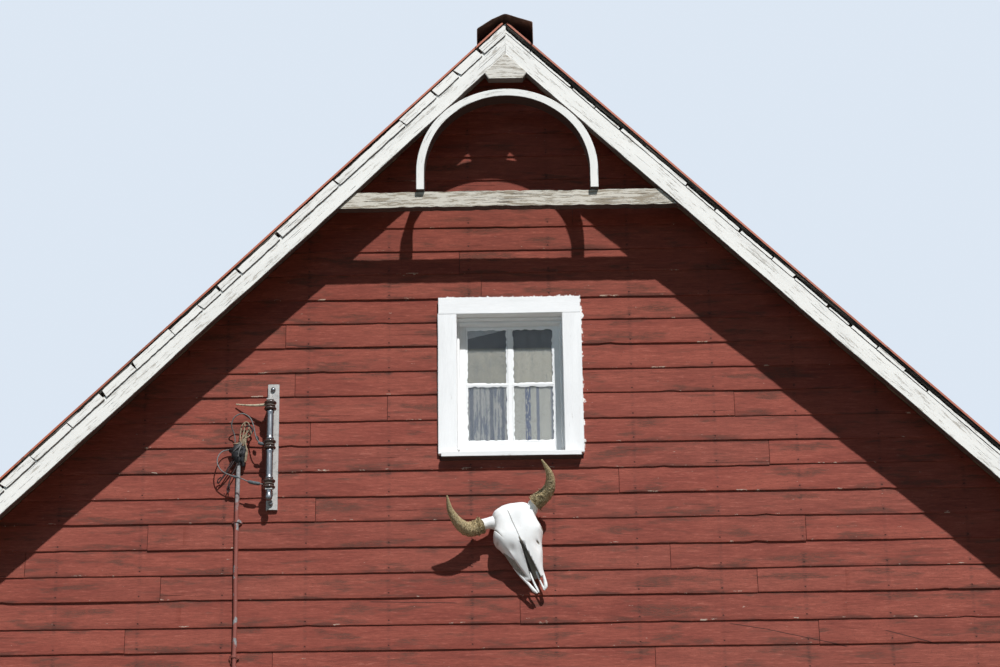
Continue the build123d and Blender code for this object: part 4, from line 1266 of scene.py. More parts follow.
def arch():
    """A bent board: a rounded rectangle carried up one leg, round the half circle and down."""
    leg = ARCH_CENTRE - BEAM_TOP
    bow = math.pi * (ARCH_RADIUS - ARCH_BAND / 2)
    distance = np.concatenate([np.linspace(0, leg, 5)[:-1], leg + np.linspace(0, bow, 121),
                               leg + bow + np.linspace(0, leg, 5)[1:]])
    turn = np.clip((distance - leg) / bow, 0, 1) * math.pi
    rise = np.where(distance > leg + bow, 2 * leg + bow - distance, np.minimum(distance, leg))
    section = rounded_section(ARCH_BAND, ARCH_DEPTH, 0.003)
    a = section[:, 0][None] + wander(distance, 81, 0.8, 0.0012)[:, None]
    radius = ARCH_RADIUS - ARCH_BAND / 2 + a
    x = -radius * np.cos(turn)[:, None]
    z = BEAM_TOP + rise[:, None] + radius * np.sin(turn)[:, None]
    y = np.broadcast_to(ARCH_DEPTH / 2 - BARGE_FRONT - 0.020 + section[:, 1], x.shape)
    uv = np.stack([np.broadcast_to(distance[:, None], a.shape),
                   np.broadcast_to(section[:, 0] + 0.6 * section[:, 1], a.shape)], -1)
    return skin(np.stack([x, y, z], -1), uv, 0.6)


piece("bent_arch", [arch()], arch_white, "white_trim", "gable_arch")


def peak():
    """The block under the apex: its outline in x and z, chamfered along y by carried rings."""
    right = [(0.1085, BARGE_APEX - 0.1085), (0.109, 8.7216), (0.087, 8.6858)]
    left = [(-x, z) for x, z in reversed(right)]
    outline = np.array([(0.0, BARGE_APEX)] + right + [(0.0, 8.6858)] + left)
    middle = np.array([0.0, 8.745])
    rings = []
    for y, share in ((0.0, 0.965), (0.003, 1.0), (0.02, 1.0), (0.048, 1.0)):
        flat = middle + (outline - middle) * share
        rings.append(np.stack([flat[:, 0], np.full(8, -BARGE_FRONT - 0.010 + y), flat[:, 1]], -1))
    grid = np.array(rings)
    return skin(grid, np.stack([grid[..., 0], grid[..., 2] - 8.69], -1), 0.3)


piece("peak_infill", [peak()], peak_white, "white_trim", "peak_block")


def corner_pair(x_side, y_side, seed):
    """Two boards at a corner of the house, their tops cut to the slope of the deck."""
    thick, wide, narrow, foot = 0.035, 0.15, 0.115, 0.42
    top = DECK_APEX - HALF_WIDTH
    kept = {"step": 0.1, "wave": 0.002, "rough": 0.002, "radius": 0.003}
    x, y = x_side * (HALF_WIDTH - 0.04), y_side * (HALF_LENGTH + thick / 2)
    first = board((x, y, foot), (x, y, top + 0.036), (x_side, 0, 0), wide, thick, seed=seed,
                  mitre=(0.0, -1.0), **kept)
    x, y = x_side * (HALF_WIDTH + thick / 2), y_side * (HALF_LENGTH - narrow / 2)
    second = board((x, y, foot), (x, y, top - 0.045), (0, y_side, 0), narrow, thick,
                   seed=seed + 5, **kept)
    return [first, second]


corners = []
for index, (a, b) in enumerate(((-1, -1), (1, -1), (-1, 1), (1, 1))):
    corners += corner_pair(a, b, 7500 + 20 * index)
piece("corner_trim", corners, aged_white, "white_trim", "corner_boards")


def fascia_pair():
    """Three boards end to end under the eaves of each side."""
    thick = 0.025
    skins = []
    for side in (-1, 1):
        x = side * (EAVES_END - thick / 2)
        z = DECK_APEX - (EAVES_END - thick) - 0.165 / 2 - 0.013
        for index, (y0, y1) in enumerate(((-4.76, -1.7), (-1.7, 1.55), (1.55, 4.76))):
            skins.append(board((x, y0 + 0.001, z), (x, y1 - 0.001, z), (0, 0, 1), 0.155, thick,
                               step=0.1, wave=0.002, rough=0.002, seed=7600 + 9 * index + side))
    return skins


piece("eaves_boards", fascia_pair(), aged_white, "white_trim", "eaves_fascias")


# Roof

RIB_PITCH = 0.2286
GABLE_REACH = 4.824


def ribbed_roof(side, seed):
    """Ribbed sheets: height over the slope is a trapezoid rib each RIB_PITCH and a low bead
    between, with a turned-down lip at both gables; upper sheets lap 2 mm over lower ones."""
    centres = np.arange(-20, 21) * RIB_PITCH
    offsets = np.array([-0.022, -0.011, 0.011, 0.022, RIB_PITCH / 2 - 0.008, RIB_PITCH / 2 + 0.008])
    heights = np.array([0.0, 0.018, 0.018, 0.0, 0.004, 0.004])
    y = (centres[:, None] + offsets).ravel()
    h = np.tile(heights, len(centres))
    inside = np.abs(y) < GABLE_REACH - 0.03
    y, h = y[inside], h[inside]
    y = np.concatenate([[-GABLE_REACH, -GABLE_REACH], y, [GABLE_REACH, GABLE_REACH]])
    h = np.concatenate([[-0.0085, 0.001], h, [0.001, -0.0085]])
    gauge = 0.0014
    under_y = np.clip(y[::-1], gauge - GABLE_REACH, GABLE_REACH - gauge)
    under_h = h[::-1] - np.where(h[::-1] < -0.005, 0.0, gauge)
    ring_y, ring_h = np.concatenate([y, under_y]), np.concatenate([h, under_h])
    end = (EAVES_END + 0.05) / SLOPE
    laps = (1.95, 3.75)
    s = np.sort(np.concatenate([np.linspace(0.02, end, 46), [c - 0.002 for c in laps], laps]))
    lift = 0.004 - 0.0024 * (s >= laps[0]) - 0.0024 * (s >= laps[1])
    dent = wander(s[:, None] + 0.35 * ring_y[None], seed, 1.9, 0.0016)
    rim = np.clip((np.abs(ring_y) - GABLE_REACH + 0.2) / 0.2, 0, 1)[None]
    height = ring_h[None] + lift[:, None] * (1 - rim) + dent * (1 - 0.6 * rim)
    x = side * (s[:, None] + height) * SLOPE
    z = SHEET_APEX + (height - s[:, None]) * SLOPE
    grid = np.stack([x, np.broadcast_to(ring_y, x.shape), z], -1)
    uv = np.stack([np.broadcast_to(s[:, None], x.shape), np.broadcast_to(ring_y, x.shape)], -1)
    return skin(grid, uv, 0.5)


for name, side in ROOF_SIDES:
    piece(f"{name}_ribbed_sheets", [ribbed_roof(side, 91 + side)], roof_red, "roof_metal",
          f"{name}_roof_sheets", crease=30)


SHINGLE_LENGTH = 0.39


def shingle_layers(side, seed):
    """Three-deep courses of shingles that show at the gables and eaves, over a plain core."""
    rng = np.random.default_rng(seed)
    end = SLOPE_END + 0.025 / SLOPE
    core = board(slope_point(side, 0.0, SHINGLE_APEX, 0.008, 0.0),
                 slope_point(side, end - 0.02, SHINGLE_APEX, 0.008, 0.0),
                 (0, 1, 0), 2 * 4.796, 0.015, step=0.6, number=0.1)
    core.points[:, 0] = side * np.maximum(side * core.points[:, 0], 0.0)
    skins = [core]
    for way in (-1, 1):
        place = -0.24
        while place < end - 0.02:
            top, low = max(place, 0.004), min(place + SHINGLE_LENGTH, end)
            rise0, rise1 = (0.002 + 0.012 * (s - place) / SHINGLE_LENGTH for s in (top, low))
            reach = RAKE_FRONT + rng.uniform(-0.008, 0.008)
            width = rng.uniform(0.09, 0.16)
            y = way * (reach - width / 2)
            rise1 = rise1 + rng.uniform(-0.001, 0.0015)
            skins.append(board(slope_point(side, top, SHINGLE_APEX, rise0, y),
                               slope_point(side, low, SHINGLE_APEX, rise1, y),
                               (0, 1, 0), width, rng.uniform(0.004, 0.0065), step=0.05,
                               wave=0.0015, rough=0.004, spacing=0.02, radius=0.001,
                               number=rng.random() ** 1.6, seed=int(rng.integers(1, 9000))))
            place += rng.uniform(0.10, 0.14)
    for row in range(2):
        y = -4.79
        while y < 4.74:
            width = min(rng.uniform(0.10, 0.22), 4.80 - y)
            low = end - 0.004 - 0.012 * row + rng.uniform(-0.006, 0.003)
            middle = y + width / 2
            skins.append(board(slope_point(side, low - 0.25, SHINGLE_APEX, 0.004 + 0.008 * row, middle),
                               slope_point(side, low, SHINGLE_APEX, 0.005 + 0.009 * row, middle),
                               (0, 1, 0), width - 0.004, 0.006, step=0.13, rough=0.002,
                               radius=0.001, number=rng.random() ** 1.6,
                               seed=int(rng.integers(1, 9000))))
            y += width
    return skins


for name, side in ROOF_SIDES:
    piece(f"{name}_shingle_courses", shingle_layers(side, 301 + side), dark_shingles,
          "old_shingles", f"{name}_old_shingles")


def bent_cap():
    """A folded outline in x and z carried along y, dented, its front end worn ragged."""
    crown = ROOF_APEX + 0.008
    top = np.array([(-0.145, ROOF_APEX - 0.145), (-0.1445, crown - 0.091), (-0.1405, crown - 0.0845),
                    (-0.07, crown - 0.040), (-0.012, crown - 0.004), (0.0, crown),
                    (0.012, crown - 0.003), (0.07, crown - 0.021), (0.1405, crown - 0.0445),
                    (0.1448, crown - 0.050), (0.145, ROOF_APEX - 0.145)])
    under = top[::-1].copy()
    under[:, 0] *= 0.984
    under[1:-1, 1] -= 0.003
    ring = np.concatenate([top, under])
    y = np.linspace(-4.863, 4.863, 190)
    soft = np.clip((ring[:, 1] - (ROOF_APEX - 0.13)) / 0.06, 0, 1)[None]
    dent = (wander(y[:, None] + 0.9 * ring[:, 0], 411, 0.5, 0.006)
            + wander(y[:, None] - 1.7 * ring[:, 0], 412, 0.13, 0.0022)) * soft
    x = np.broadcast_to(ring[:, 0], (len(y), len(ring))) + dent * 0.25
    z = ring[:, 1][None] + dent
    grid = np.stack([x, np.broadcast_to(y[:, None], x.shape), z], -1)
    ragged = chips(ring[:, 0] * 3 + 1.0, 413, 0.05, 0.9, 0.012)
    grid[0, :, 1] += ragged
    uv = np.stack([np.broadcast_to(y[:, None], x.shape), np.broadcast_to(ring[:, 0], x.shape)], -1)
    return skin(grid, uv, 0.5)


piece("bent_ridge_cap", [bent_cap()], cap_brown, "cap_metal", "ridge_cap", crease=50)


# Foundation and steps

def stone_face(length, seed):
    """A stone facing on a wall plane: height out of the wall rises from the mortar towards the
    middle of each stone, by the gap between the nearest and second nearest stone centre."""
    rng = np.random.default_rng(seed)
    centres = []
    row_low = 0.0
    for row_high in (0.15, 0.29, 0.42):
        x = -length / 2 - 0.1
        while x < length / 2 + 0.1:
            width = rng.uniform(0.18, 0.42)
            centres.append((x + width / 2, (row_low + row_high) / 2 + rng.uniform(-0.018, 0.018)))
            x += width
        row_low = row_high
    centres = np.array(centres)
    u = np.linspace(-length / 2, length / 2, int(length / 0.022))
    v = np.linspace(0.0, 0.418, 22)
    gu, gv = np.meshgrid(u, v, indexing="ij")
    far = (gu[..., None] - centres[:, 0]) ** 2 * 0.35 + (gv[..., None] - centres[:, 1]) ** 2
    order = np.argsort(far, axis=-1)[..., :2]
    nearest = np.sqrt(np.take_along_axis(far, order, -1))
    margin = nearest[..., 1] - nearest[..., 0]
    inside = np.clip((margin - 0.010) / 0.030, 0, 1)
    bulge = inside * inside * (3 - 2 * inside)
    each = rng.uniform(0.010, 0.026, len(centres))[order[..., 0]]
    rough = (wander(gu + 3.1 * gv, seed + 1, 0.11, 0.0022)
             + wander(gv - 0.7 * gu, seed + 2, 0.07, 0.0018))
    out = 0.022 + bulge * (each + rough)
    number = np.where(bulge > 0.35, rng.random(len(centres))[order[..., 0]], -1.0)
    front = np.stack([gu, -out, gv], -1)
    back = np.stack([gu[:, ::21], np.full_like(gu[:, ::21], -0.001), gv[:, ::21]], -1)[:, ::-1]
    grid = np.concatenate([front, back], axis=1)
    tags = np.concatenate([number, np.full((len(u), back.shape[1]), -1.0)], axis=1)
    return skin(grid, grid[..., [0, 2]].copy(), tags)


facing = []
for index, wall in enumerate(WALL_TURNS):
    length = 6.83 if wall in GABLE_WALLS else 9.04
    facing += on_wall(wall, [stone_face(length, 501 + 10 * index)])
piece("stone_facing", facing, field_stone, "field_stone", crease=60)


def step_flight(wall, seed):
    """Three rough treads, each of two dressed slabs with worn edges."""
    skins = []
    for index in range(3):
        front, top = 0.02 + (3 - index) * 0.28, (index + 1) * 0.15
        middle = (front + 0.018) / 2
        split = np.random.default_rng(seed + index).uniform(-0.3, 0.3)
        for a, b, slab in ((-0.75, split - 0.002, 1), (split + 0.002, 0.75, 0)):
            skins.append(board((a, -middle, top - 0.0745), (b, -middle, top - 0.0745), (0, 1, 0),
                               front - 0.022, 0.148, radius=0.012, step=0.035, wave=0.004,
                               rough=0.004, spacing=0.05, seed=seed + 11 * index + slab))
    return on_wall(wall, skins)


for wall, seed in (("front", 601), ("back", 651)):
    piece(f"{wall}_step_slabs", step_flight(wall, seed), step_stone, "step_stone", f"{wall}_steps",
          crease=55)


# Service rack, insulators and cable

RACK_X, ROD_Y = -1.195, -4.595
RACK_LOW, RACK_TOP = 6.4577, 7.1227
SPOOLS = (6.9827, 6.7757, 6.5687)
PLATE_X = RACK_X + 0.010


def swept(points, radii, sides=12, seed=None, rough=0.0012):
    """A tapering round form along a smooth curve through points in millimetres from the top
    of the cable, its skin moved by noise of the place where a seed is given."""
    points = np.asarray(points, float) / 1000 + (CABLE_X, -HALF_LENGTH, CABLE_TOP)
    line, radius, _ = smooth_path(points, radii, 10 * len(points))
    made = tube(line, radius, sides)
    if seed is not None:
        bump = wander(made.points @ np.array([1.3, 0.7, 1.0]), seed, 0.016, rough)
        made.points += bump[:, None] * np.array([0.6, -0.4, 0.6])
    return made


def rack_skins():
    """Channel with its web to the front, two arms and the knob on top of the rod."""
    channel = np.array([(-0.028, 0.0), (-0.028, -0.022), (-0.020, -0.024), (0.020, -0.024),
                        (0.028, -0.022), (0.028, 0.0), (0.0245, 0.0), (0.0245, -0.0190),
                        (0.018, -0.0205), (-0.018, -0.0205), (-0.0245, -0.0190), (-0.0245, 0.0)])
    wall_y = -HALF_LENGTH - 0.008
    skins = [moulding((PLATE_X, wall_y, RACK_LOW), (PLATE_X, wall_y, RACK_TOP), (1, 0, 0),
                      channel, step=0.05, wave=0.0006, seed=801)]
    for level in (SPOOLS[0] + 0.028, SPOOLS[2] - 0.032):
        skins.append(board((RACK_X, -4.525, level + 0.003), (RACK_X, ROD_Y - 0.020, level + 0.003),
                           (1, 0, 0), 0.034, 0.006, radius=0.0012, step=0.02, seed=803))
    skins.append(turned([(0.0005, 0.0), (0.012, 0.0), (0.014, 0.004), (0.014, 0.012), (0.010, 0.016),
                         (0.010, 0.028), (0.0075, 0.032), (0.0005, 0.033)],
                        (RACK_X, ROD_Y, SPOOLS[0] + 0.030), sides=12))
    return skins


def sleeve_outline(length):
    """A sleeve with a swollen collar at both ends."""
    return [(0.0085, 0.0), (0.0150, 0.001), (0.0200, 0.007), (0.0205, 0.012), (0.0165, 0.021),
            (0.0172, 0.030), (0.0172, length - 0.030), (0.0165, length - 0.021),
            (0.0200, length - 0.012), (0.0190, length - 0.006), (0.0140, length - 0.001),
            (0.0085, length)]


ROD_END = [(0.0005, 0.0), (0.0100, 0.001), (0.0165, 0.008), (0.0185, 0.020), (0.0150, 0.034),
           (0.0130, 0.046), (0.0170, 0.054), (0.0140, 0.061), (0.0005, 0.061)]


def dark_steel_skins():
    """Polished sleeves between the spools, the rod's end and round bolt heads."""
    skins = []
    for upper, lower in zip(SPOOLS, SPOOLS[1:]):
        foot, top = lower + 0.022, upper - 0.022
        skins.append(turned(sleeve_outline(top - foot), (RACK_X, ROD_Y, foot), sides=24))
    skins.append(turned(ROD_END, (RACK_X, ROD_Y, SPOOLS[2] - 0.085), sides=24))
    for x, z, size in ((PLATE_X - 0.002, RACK_TOP - 0.030, 0.0125),
                       (PLATE_X - 0.004, RACK_LOW + 0.028, 0.0105)):
        skins.append(turned([(0.0005, 0.0), (size * 0.8, 0.0), (size, 0.004), (size * 0.95, 0.009),
                             (size * 0.6, 0.014), (0.0005, 0.016)],
                            (x, -HALF_LENGTH - 0.031, z), axis=(0, -1, 0), sides=16))
    return skins


piece("rack_ironwork", rack_skins(), rack_zinc, "galvanised", "service_rack")
piece("rack_sleeves", dark_steel_skins(), sleeve_steel, "galvanised", crease=50)

spool_outline = [(0.0085, -0.024), (0.020, -0.024), (0.0265, -0.0225), (0.0305, -0.0185),
                 (0.0310, -0.0150), (0.0290, -0.0110), (0.0225, -0.0060), (0.0205, 0.0),
                 (0.0225, 0.0060), (0.0290, 0.0110), (0.0310, 0.0150), (0.0305, 0.0185),
                 (0.0265, 0.0225), (0.020, 0.024), (0.0085, 0.024)]
piece("glazed_spools", [turned(spool_outline, (RACK_X, ROD_Y, z), sides=32) for z in SPOOLS],
      brown_glaze, "glazed_brown", "rack_insulators", crease=50)


def twisted(start, end, turns, thick):
    """Two strands wound round a sagging line from start to end, thinner towards the end."""
    t = np.linspace(0, 1, 12 * turns)
    line = np.asarray(start, float) + t[:, None] * (np.asarray(end, float) - start)
    line[:, 2] -= 5.0 * np.sin(math.pi * t)
    strands = []
    for phase in (0.0, math.pi):
        angle = phase + turns * 2 * math.pi * t
        shift = np.stack([np.zeros_like(t), np.cos(angle), np.sin(angle)], -1)
        shift = shift * (thick * (1 - 0.55 * t))[:, None]
        place = (line + shift) / 1000 + (CABLE_X, -HALF_LENGTH, CABLE_TOP)
        strands.append(tube(place, 0.001 * thick * (1 - 0.5 * t), sides=7))
    return strands


def hoop(x, y, z, radius, thick, lean):
    """A closed ring of wire round the rod, a little tilted."""
    turn = np.linspace(0, 2 * math.pi, 33)
    ring = np.stack([x + radius * np.cos(turn), y + radius * np.sin(turn),
                     z + lean * np.cos(turn + 0.7)], -1)
    return tube(ring, thick, sides=6)


def head_knot():
    """Dark tape wound over the cable end: four lumpy bundles that cross, and two short tails."""
    return [
        swept([(8, -36, 70), (-4, -46, 40), (-8, -50, 6), (4, -44, -34)],
              (0.010, 0.022, 0.025, 0.012), seed=831, rough=0.008),
        swept([(26, -38, 60), (28, -46, 22), (20, -46, -14), (27, -38, -54)],
              (0.006, 0.014, 0.013, 0.006), seed=832, rough=0.007),
        swept([(-44, -36, 36), (-22, -46, 24), (10, -54, 8), (34, -42, -12)],
              (0.005, 0.014, 0.016, 0.008), seed=833, rough=0.007),
        swept([(-34, -40, -8), (-16, -52, 2), (8, -54, 28), (30, -40, 46)],
              (0.005, 0.011, 0.012, 0.006), seed=834, rough=0.006),
        swept([(31, -44, 150), (46, -47, 157), (60, -45, 150), (69, -43, 134), (58, -43, 118),
               (44, -46, 130)], (0.003, 0.0045, 0.005, 0.0045, 0.004, 0.003), sides=8),
        swept([(88, -60, 96), (94, -62, 84), (98, -60, 70)], (0.005, 0.009, 0.004), sides=8),
    ]


def rope_tails():
    """Tan rope: a loop above the knot and short windings on it."""
    thin = 0.0034
    return [
        swept([(8, -40, 62), (8, -38, 118), (16, -38, 162), (34, -40, 180), (50, -44, 168),
               (50, -46, 142), (40, -48, 108), (36, -52, 66), (41, -52, 26), (37, -48, -12)],
              thin, sides=8, seed=841),
        swept([(18, -50, 88), (35, -54, 108), (50, -52, 128), (62, -50, 122), (54, -50, 102),
               (28, -54, 84), (22, -56, 60)], thin, sides=8, seed=842),
        swept([(-24, -50, 62), (-6, -58, 58), (6, -52, 66)], (0.003, 0.0035, 0.003), sides=7),
        swept([(30, -48, 40), (38, -52, 4), (34, -48, -36)], (0.003, 0.0045, 0.003), sides=7),
        swept([(14, -48, 60), (22, -50, 104), (30, -46, 150), (28, -42, 176)],
              (0.004, 0.0035, 0.003, 0.002), sides=7, seed=843, rough=0.002),
        swept([(24, -50, 50), (34, -54, 92), (42, -50, 132)],
              (0.0045, 0.004, 0.002), sides=7, seed=844, rough=0.003),
        swept([(34, -52, 60), (44, -52, 20), (40, -46, -30)],
              (0.003, 0.004, 0.002), sides=7, seed=845, rough=0.002),
    ]


def head_wires():
    """Grey ends of wire that cross the front of the knot."""
    return [
        swept([(-30, -60, 8), (-10, -78, 22), (14, -78, 44), (20, -62, 58)], 0.0028, sides=7),
        swept([(2, -72, -14), (8, -80, 16), (16, -74, 40)], 0.0034, sides=7),
        swept([(-20, -64, 26), (2, -76, 40), (10, -60, 60)], 0.0024, sides=7),
    ]


def loose_tails():
    """Dark red ends of wire that hang from the knot down to the left, two of them in loops."""
    return [swept(points, 0.0032, sides=7) for points in (
        [(-5, -44, -15), (-29, -46, -48), (-58, -46, -94), (-84, -42, -127), (-97, -38, -141),
         (-99, -38, -125), (-82, -42, -109)],
        [(-12, -48, -18), (-33, -50, -56), (-54, -48, -87), (-77, -44, -118)],
        [(4, -46, -25), (-12, -48, -67), (-33, -46, -111), (-44, -44, -150), (-52, -42, -177),
         (-46, -42, -192), (-40, -42, -172), (-43, -44, -136)],
        [(-18, -42, -9), (-47, -42, -59), (-68, -40, -98), (-88, -38, -130)])]


piece("head_tape", head_knot(), dark_tape, "cable_jacket", "service_head", crease=60)
piece("head_rope", rope_tails(), tan_rope, "cable_jacket")
piece("tie_twine", twisted((143, -90, 252), (-18, -24, 282), 15, 4.0), pale_twine, "cable_jacket")
piece("head_tails", loose_tails(), red_wire, "cable_jacket")
piece("head_wires", head_wires(), grey_jacket, "cable_jacket")
piece("spool_ties", [hoop(RACK_X, ROD_Y, z + dz, 0.0235, 0.0019, lean)
                     for z in SPOOLS for dz, lean in ((-0.003, 0.002), (0.002, -0.001))],
      rusty_wire, "galvanised")
piece("wire_splices", [
    swept([(56, -96, -154), (62, -96, -157), (84, -96, -163), (108, -95.5, -167), (116, -95, -168)],
          (0.004, 0.0085, 0.0090, 0.0085, 0.004), sides=12),
    swept([(102, -95, 50), (108, -95, 46), (120, -95, 42), (130, -95, 40)],
          (0.004, 0.0080, 0.0085, 0.005), sides=12),
    swept([(-22, -96, -125), (-8, -96, -130), (10, -96, -134)], (0.004, 0.0065, 0.004), sides=10)],
    splice_grey, "cable_jacket")


CABLE_Y, CABLE_FOOT, ELBOW = -4.530, 1.575, 0.025


def cable_skin():
    """The cable down the wall: straight with a slight wander, then an elbow into the wall."""
    z = np.linspace(CABLE_TOP + 0.002, CABLE_FOOT, 150)
    x = CABLE_X + wander(z, 821, 1.3, 0.004) * np.clip((CABLE_TOP - z) * 3, 0, 1)
    bend = np.linspace(0, math.pi / 2, 9)[1:]
    x = np.concatenate([x, np.full(9, x[-1])])
    y = np.concatenate([np.full(150, CABLE_Y), CABLE_Y + ELBOW * (1 - np.cos(bend)), [-4.499]])
    z = np.concatenate([z, CABLE_FOOT - ELBOW * np.sin(bend), [CABLE_FOOT - ELBOW]])
    return tube(np.stack([x, y, z], -1), 0.0108, sides=12)


def strap(z):
    """A strap round the cable with a lug flat on the wall each side."""
    radius, lug, lug_y = 0.0135, 0.024, -4.5175
    turn = np.linspace(-0.15, math.pi + 0.15, 15)
    x = np.concatenate([[CABLE_X + lug], CABLE_X + radius * np.cos(turn), [CABLE_X - lug]])
    y = np.concatenate([[lug_y], CABLE_Y - radius * np.sin(turn), [lug_y]])
    path = np.stack([x, y, np.full_like(x, z)], -1)
    normal = np.stack([path[:, 0] - CABLE_X, path[:, 1] + 4.52, np.zeros(len(path))], -1)
    normal /= np.linalg.norm(normal, axis=1)[:, None]
    ring = [path + normal * out + (0, 0, dz)
            for dz, out in ((-0.007, 0.0), (0.007, 0.0), (0.007, 0.0015), (-0.007, 0.0015))]
    grid = np.stack(ring, axis=1)
    return skin(grid, grid[..., [0, 2]].copy(), 0.2)


piece("wall_cable", [cable_skin()], cable_paint, "cable_jacket", "service_cable")
piece("cable_straps", [strap(z) for z in (6.40, 5.71, 4.95, 4.2, 3.45, 2.7, 1.95)],
      cable_paint, "galvanised")


# Skull: its own axes are a down its length from the poll, b across, c out from the wall

SKULL_TILT = math.radians(18.0)
SKULL_ORIGIN = np.array([0.005, -HALF_LENGTH, 6.3997])
DOWN = np.array([math.sin(SKULL_TILT), 0.0, -math.cos(SKULL_TILT)])
ACROSS = np.array([math.cos(SKULL_TILT), 0.0, math.sin(SKULL_TILT)])
OUT = np.array([0.0, -1.0, 0.0])


def skull_points(a, b, c):
    """Points in the frame: origin + a down + b across + c out."""
    return (SKULL_ORIGIN + np.asarray(a)[..., None] * DOWN + np.asarray(b)[..., None] * ACROSS
            + np.asarray(c)[..., None] * OUT)


def hump(a, b, a0, b0, wide_a, wide_b, turn=0.0):
    """A bell around (a0, b0), with its own widths and turn."""
    da, db = a - a0, b - b0
    u = da * math.cos(turn) + db * math.sin(turn)
    v = db * math.cos(turn) - da * math.sin(turn)
    return np.exp(-(u / wide_a) ** 2 - (v / wide_b) ** 2)


# Places down the skull, and there its right and left edges, the depths of its front and back,
# and how round its rings are
SKULL_STATIONS = (-0.050, -0.036, -0.010, 0.020, 0.045, 0.075, 0.103, 0.128, 0.155, 0.182,
                  0.235, 0.293, 0.345)
SKULL_RIGHT = (0.012, 0.062, 0.088, 0.096, 0.097, 0.099, 0.104, 0.108, 0.097, 0.084,
               0.070, 0.050, 0.038)
SKULL_LEFT = (-0.050, -0.088, -0.104, -0.108, -0.114, -0.130, -0.138, -0.136, -0.123, -0.112,
              -0.098, -0.077, -0.056)
SKULL_FRONT = (0.108, 0.128, 0.142, 0.150, 0.153, 0.155, 0.156, 0.155, 0.152, 0.147,
               0.132, 0.112, 0.090)
SKULL_BACK = (0.080, 0.045, 0.028, 0.024, 0.024, 0.024, 0.024, 0.026, 0.030, 0.034,
              0.040, 0.048, 0.056)
SKULL_ROUND = (0.9, 0.66, 0.56, 0.52, 0.50, 0.50, 0.52, 0.60, 0.72, 0.84, 0.92, 0.95, 0.95)


def cranium():
    """Closed rings down the skull: their edges, depths and roundness vary along a, and humps
    and hollows for brow, orbits, nasal bones and the nasal opening are added to c."""
    a = np.concatenate([np.linspace(-0.050, -0.03, 8)[:-1], np.linspace(-0.03, 0.345, 130)])
    right, left, front, back, roundness = (
        smooth_table(a, SKULL_STATIONS, row)
        for row in (SKULL_RIGHT, SKULL_LEFT, SKULL_FRONT, SKULL_BACK, SKULL_ROUND))
    turn = np.linspace(0, 2 * math.pi, 120, endpoint=False)
    cos, sin = np.cos(turn)[None], np.sin(turn)[None]
    shape = roundness[:, None]
    lateral = np.sign(cos) * np.abs(cos) ** shape
    depth = np.sign(sin) * np.abs(sin) ** (0.35 + 0.6 * shape)
    middle = ((left + right) / 2)[:, None]
    crest = (-0.030 + (a + 0.03) * 0.0955)[:, None]
    half = ((right - left) / 2)[:, None]
    b = middle + half * lateral + (crest - middle) * (1 - lateral**2) * 0.8
    c_middle = (front * 0.42 + back * 0.58)[:, None]
    c = np.where(depth > 0, c_middle + (front[:, None] - c_middle) * depth,
                 c_middle + (c_middle - back[:, None]) * depth)
    grid_a = np.broadcast_to(a[:, None], b.shape)
    facing = np.clip(depth * 1.6, 0, 1)
    c = c + facing * (
        0.006 * hump(grid_a, b, 0.105, -0.112, 0.026, 0.022, -0.5)
        + 0.007 * hump(grid_a, b, 0.115, 0.092, 0.030, 0.018)
        - 0.006 * hump(grid_a, b, 0.065, -0.025, 0.040, 0.030)
        + 0.005 * hump(grid_a, b, 0.0, 0.035, 0.03, 0.03)
        + 0.004 * hump(grid_a, b, -0.01, -0.07, 0.03, 0.025)
        + 0.010 * hump(grid_a, b - crest, 0.235, -0.010, 0.075, 0.013)
        - 0.010 * hump(grid_a, b, 0.185, -0.072, 0.028, 0.020)
        - 0.008 * hump(grid_a, b, 0.205, 0.052, 0.030, 0.013))
    line = np.clip((grid_a - 0.012) / 0.10, 0, 1)
    wide = np.clip(0.0035 + (grid_a - 0.145) * 0.107, 0.0006, 0.03)
    slit_place = -0.0195 + 0.0155 * np.clip((grid_a - 0.145) / 0.175, 0, 1)
    slit_place = slit_place - 0.007 * np.clip((0.10 - grid_a) / 0.12, 0, 1)
    seam = np.exp(-((b - slit_place) / 0.0020) ** 2) * line * (grid_a < 0.145) * facing
    slit = np.clip((wide - np.abs(b - slit_place)) / 0.004, 0, 1) * (grid_a > 0.118) * facing
    orbit_crease = np.exp(-((b + 0.129 - (grid_a - 0.04) * 0.43) / 0.0030) ** 2)
    orbit_crease = orbit_crease * hump(grid_a, b, 0.080, -0.112, 0.036, 0.030)
    socket = (0.5 * hump(grid_a, b, 0.132, -0.128, 0.011, 0.008)
              + hump(grid_a, b, 0.127, 0.104, 0.012, 0.007))
    foramen = hump(grid_a, b, 0.190, 0.060, 0.010, 0.004, 0.4) * facing
    flank = np.clip((0.024 - (b - left[:, None])) / 0.006, 0, 1) * (depth > -0.4)
    flank = flank * np.clip((grid_a - 0.165) / 0.04, 0, 1) * np.clip((0.34 - grid_a) / 0.05, 0, 1)
    c = c - 0.004 * seam - 0.030 * slit - 0.005 * orbit_crease - 0.012 * socket - 0.007 * foramen
    c = c - 0.012 * flank * facing + wander(grid_a + 1.7 * b, 901, 0.12, 0.0008)
    hollow = np.clip(0.42 * slit + 0.4 * orbit_crease + 0.5 * socket + 0.8 * foramen, 0, 1)
    grid = skull_points(grid_a, b, c)
    uv = np.stack([grid_a, b], -1)
    return skin(grid, uv, hollow)


def swept_bone(path, radii, seed):
    """A tapering round bone along points in (a, b, c), through which a smooth curve runs."""
    path = np.asarray(path, float)
    line, radius, _ = smooth_path(path, radii, 12 * len(path))
    made = tube(skull_points(*line.T), radius, sides=16)
    bump = wander(made.points[:, 0] * 1.3 + made.points[:, 2], seed, 0.021, 0.0006)
    made.points[:, 1] += bump
    made.points[:, 2] += bump
    return made


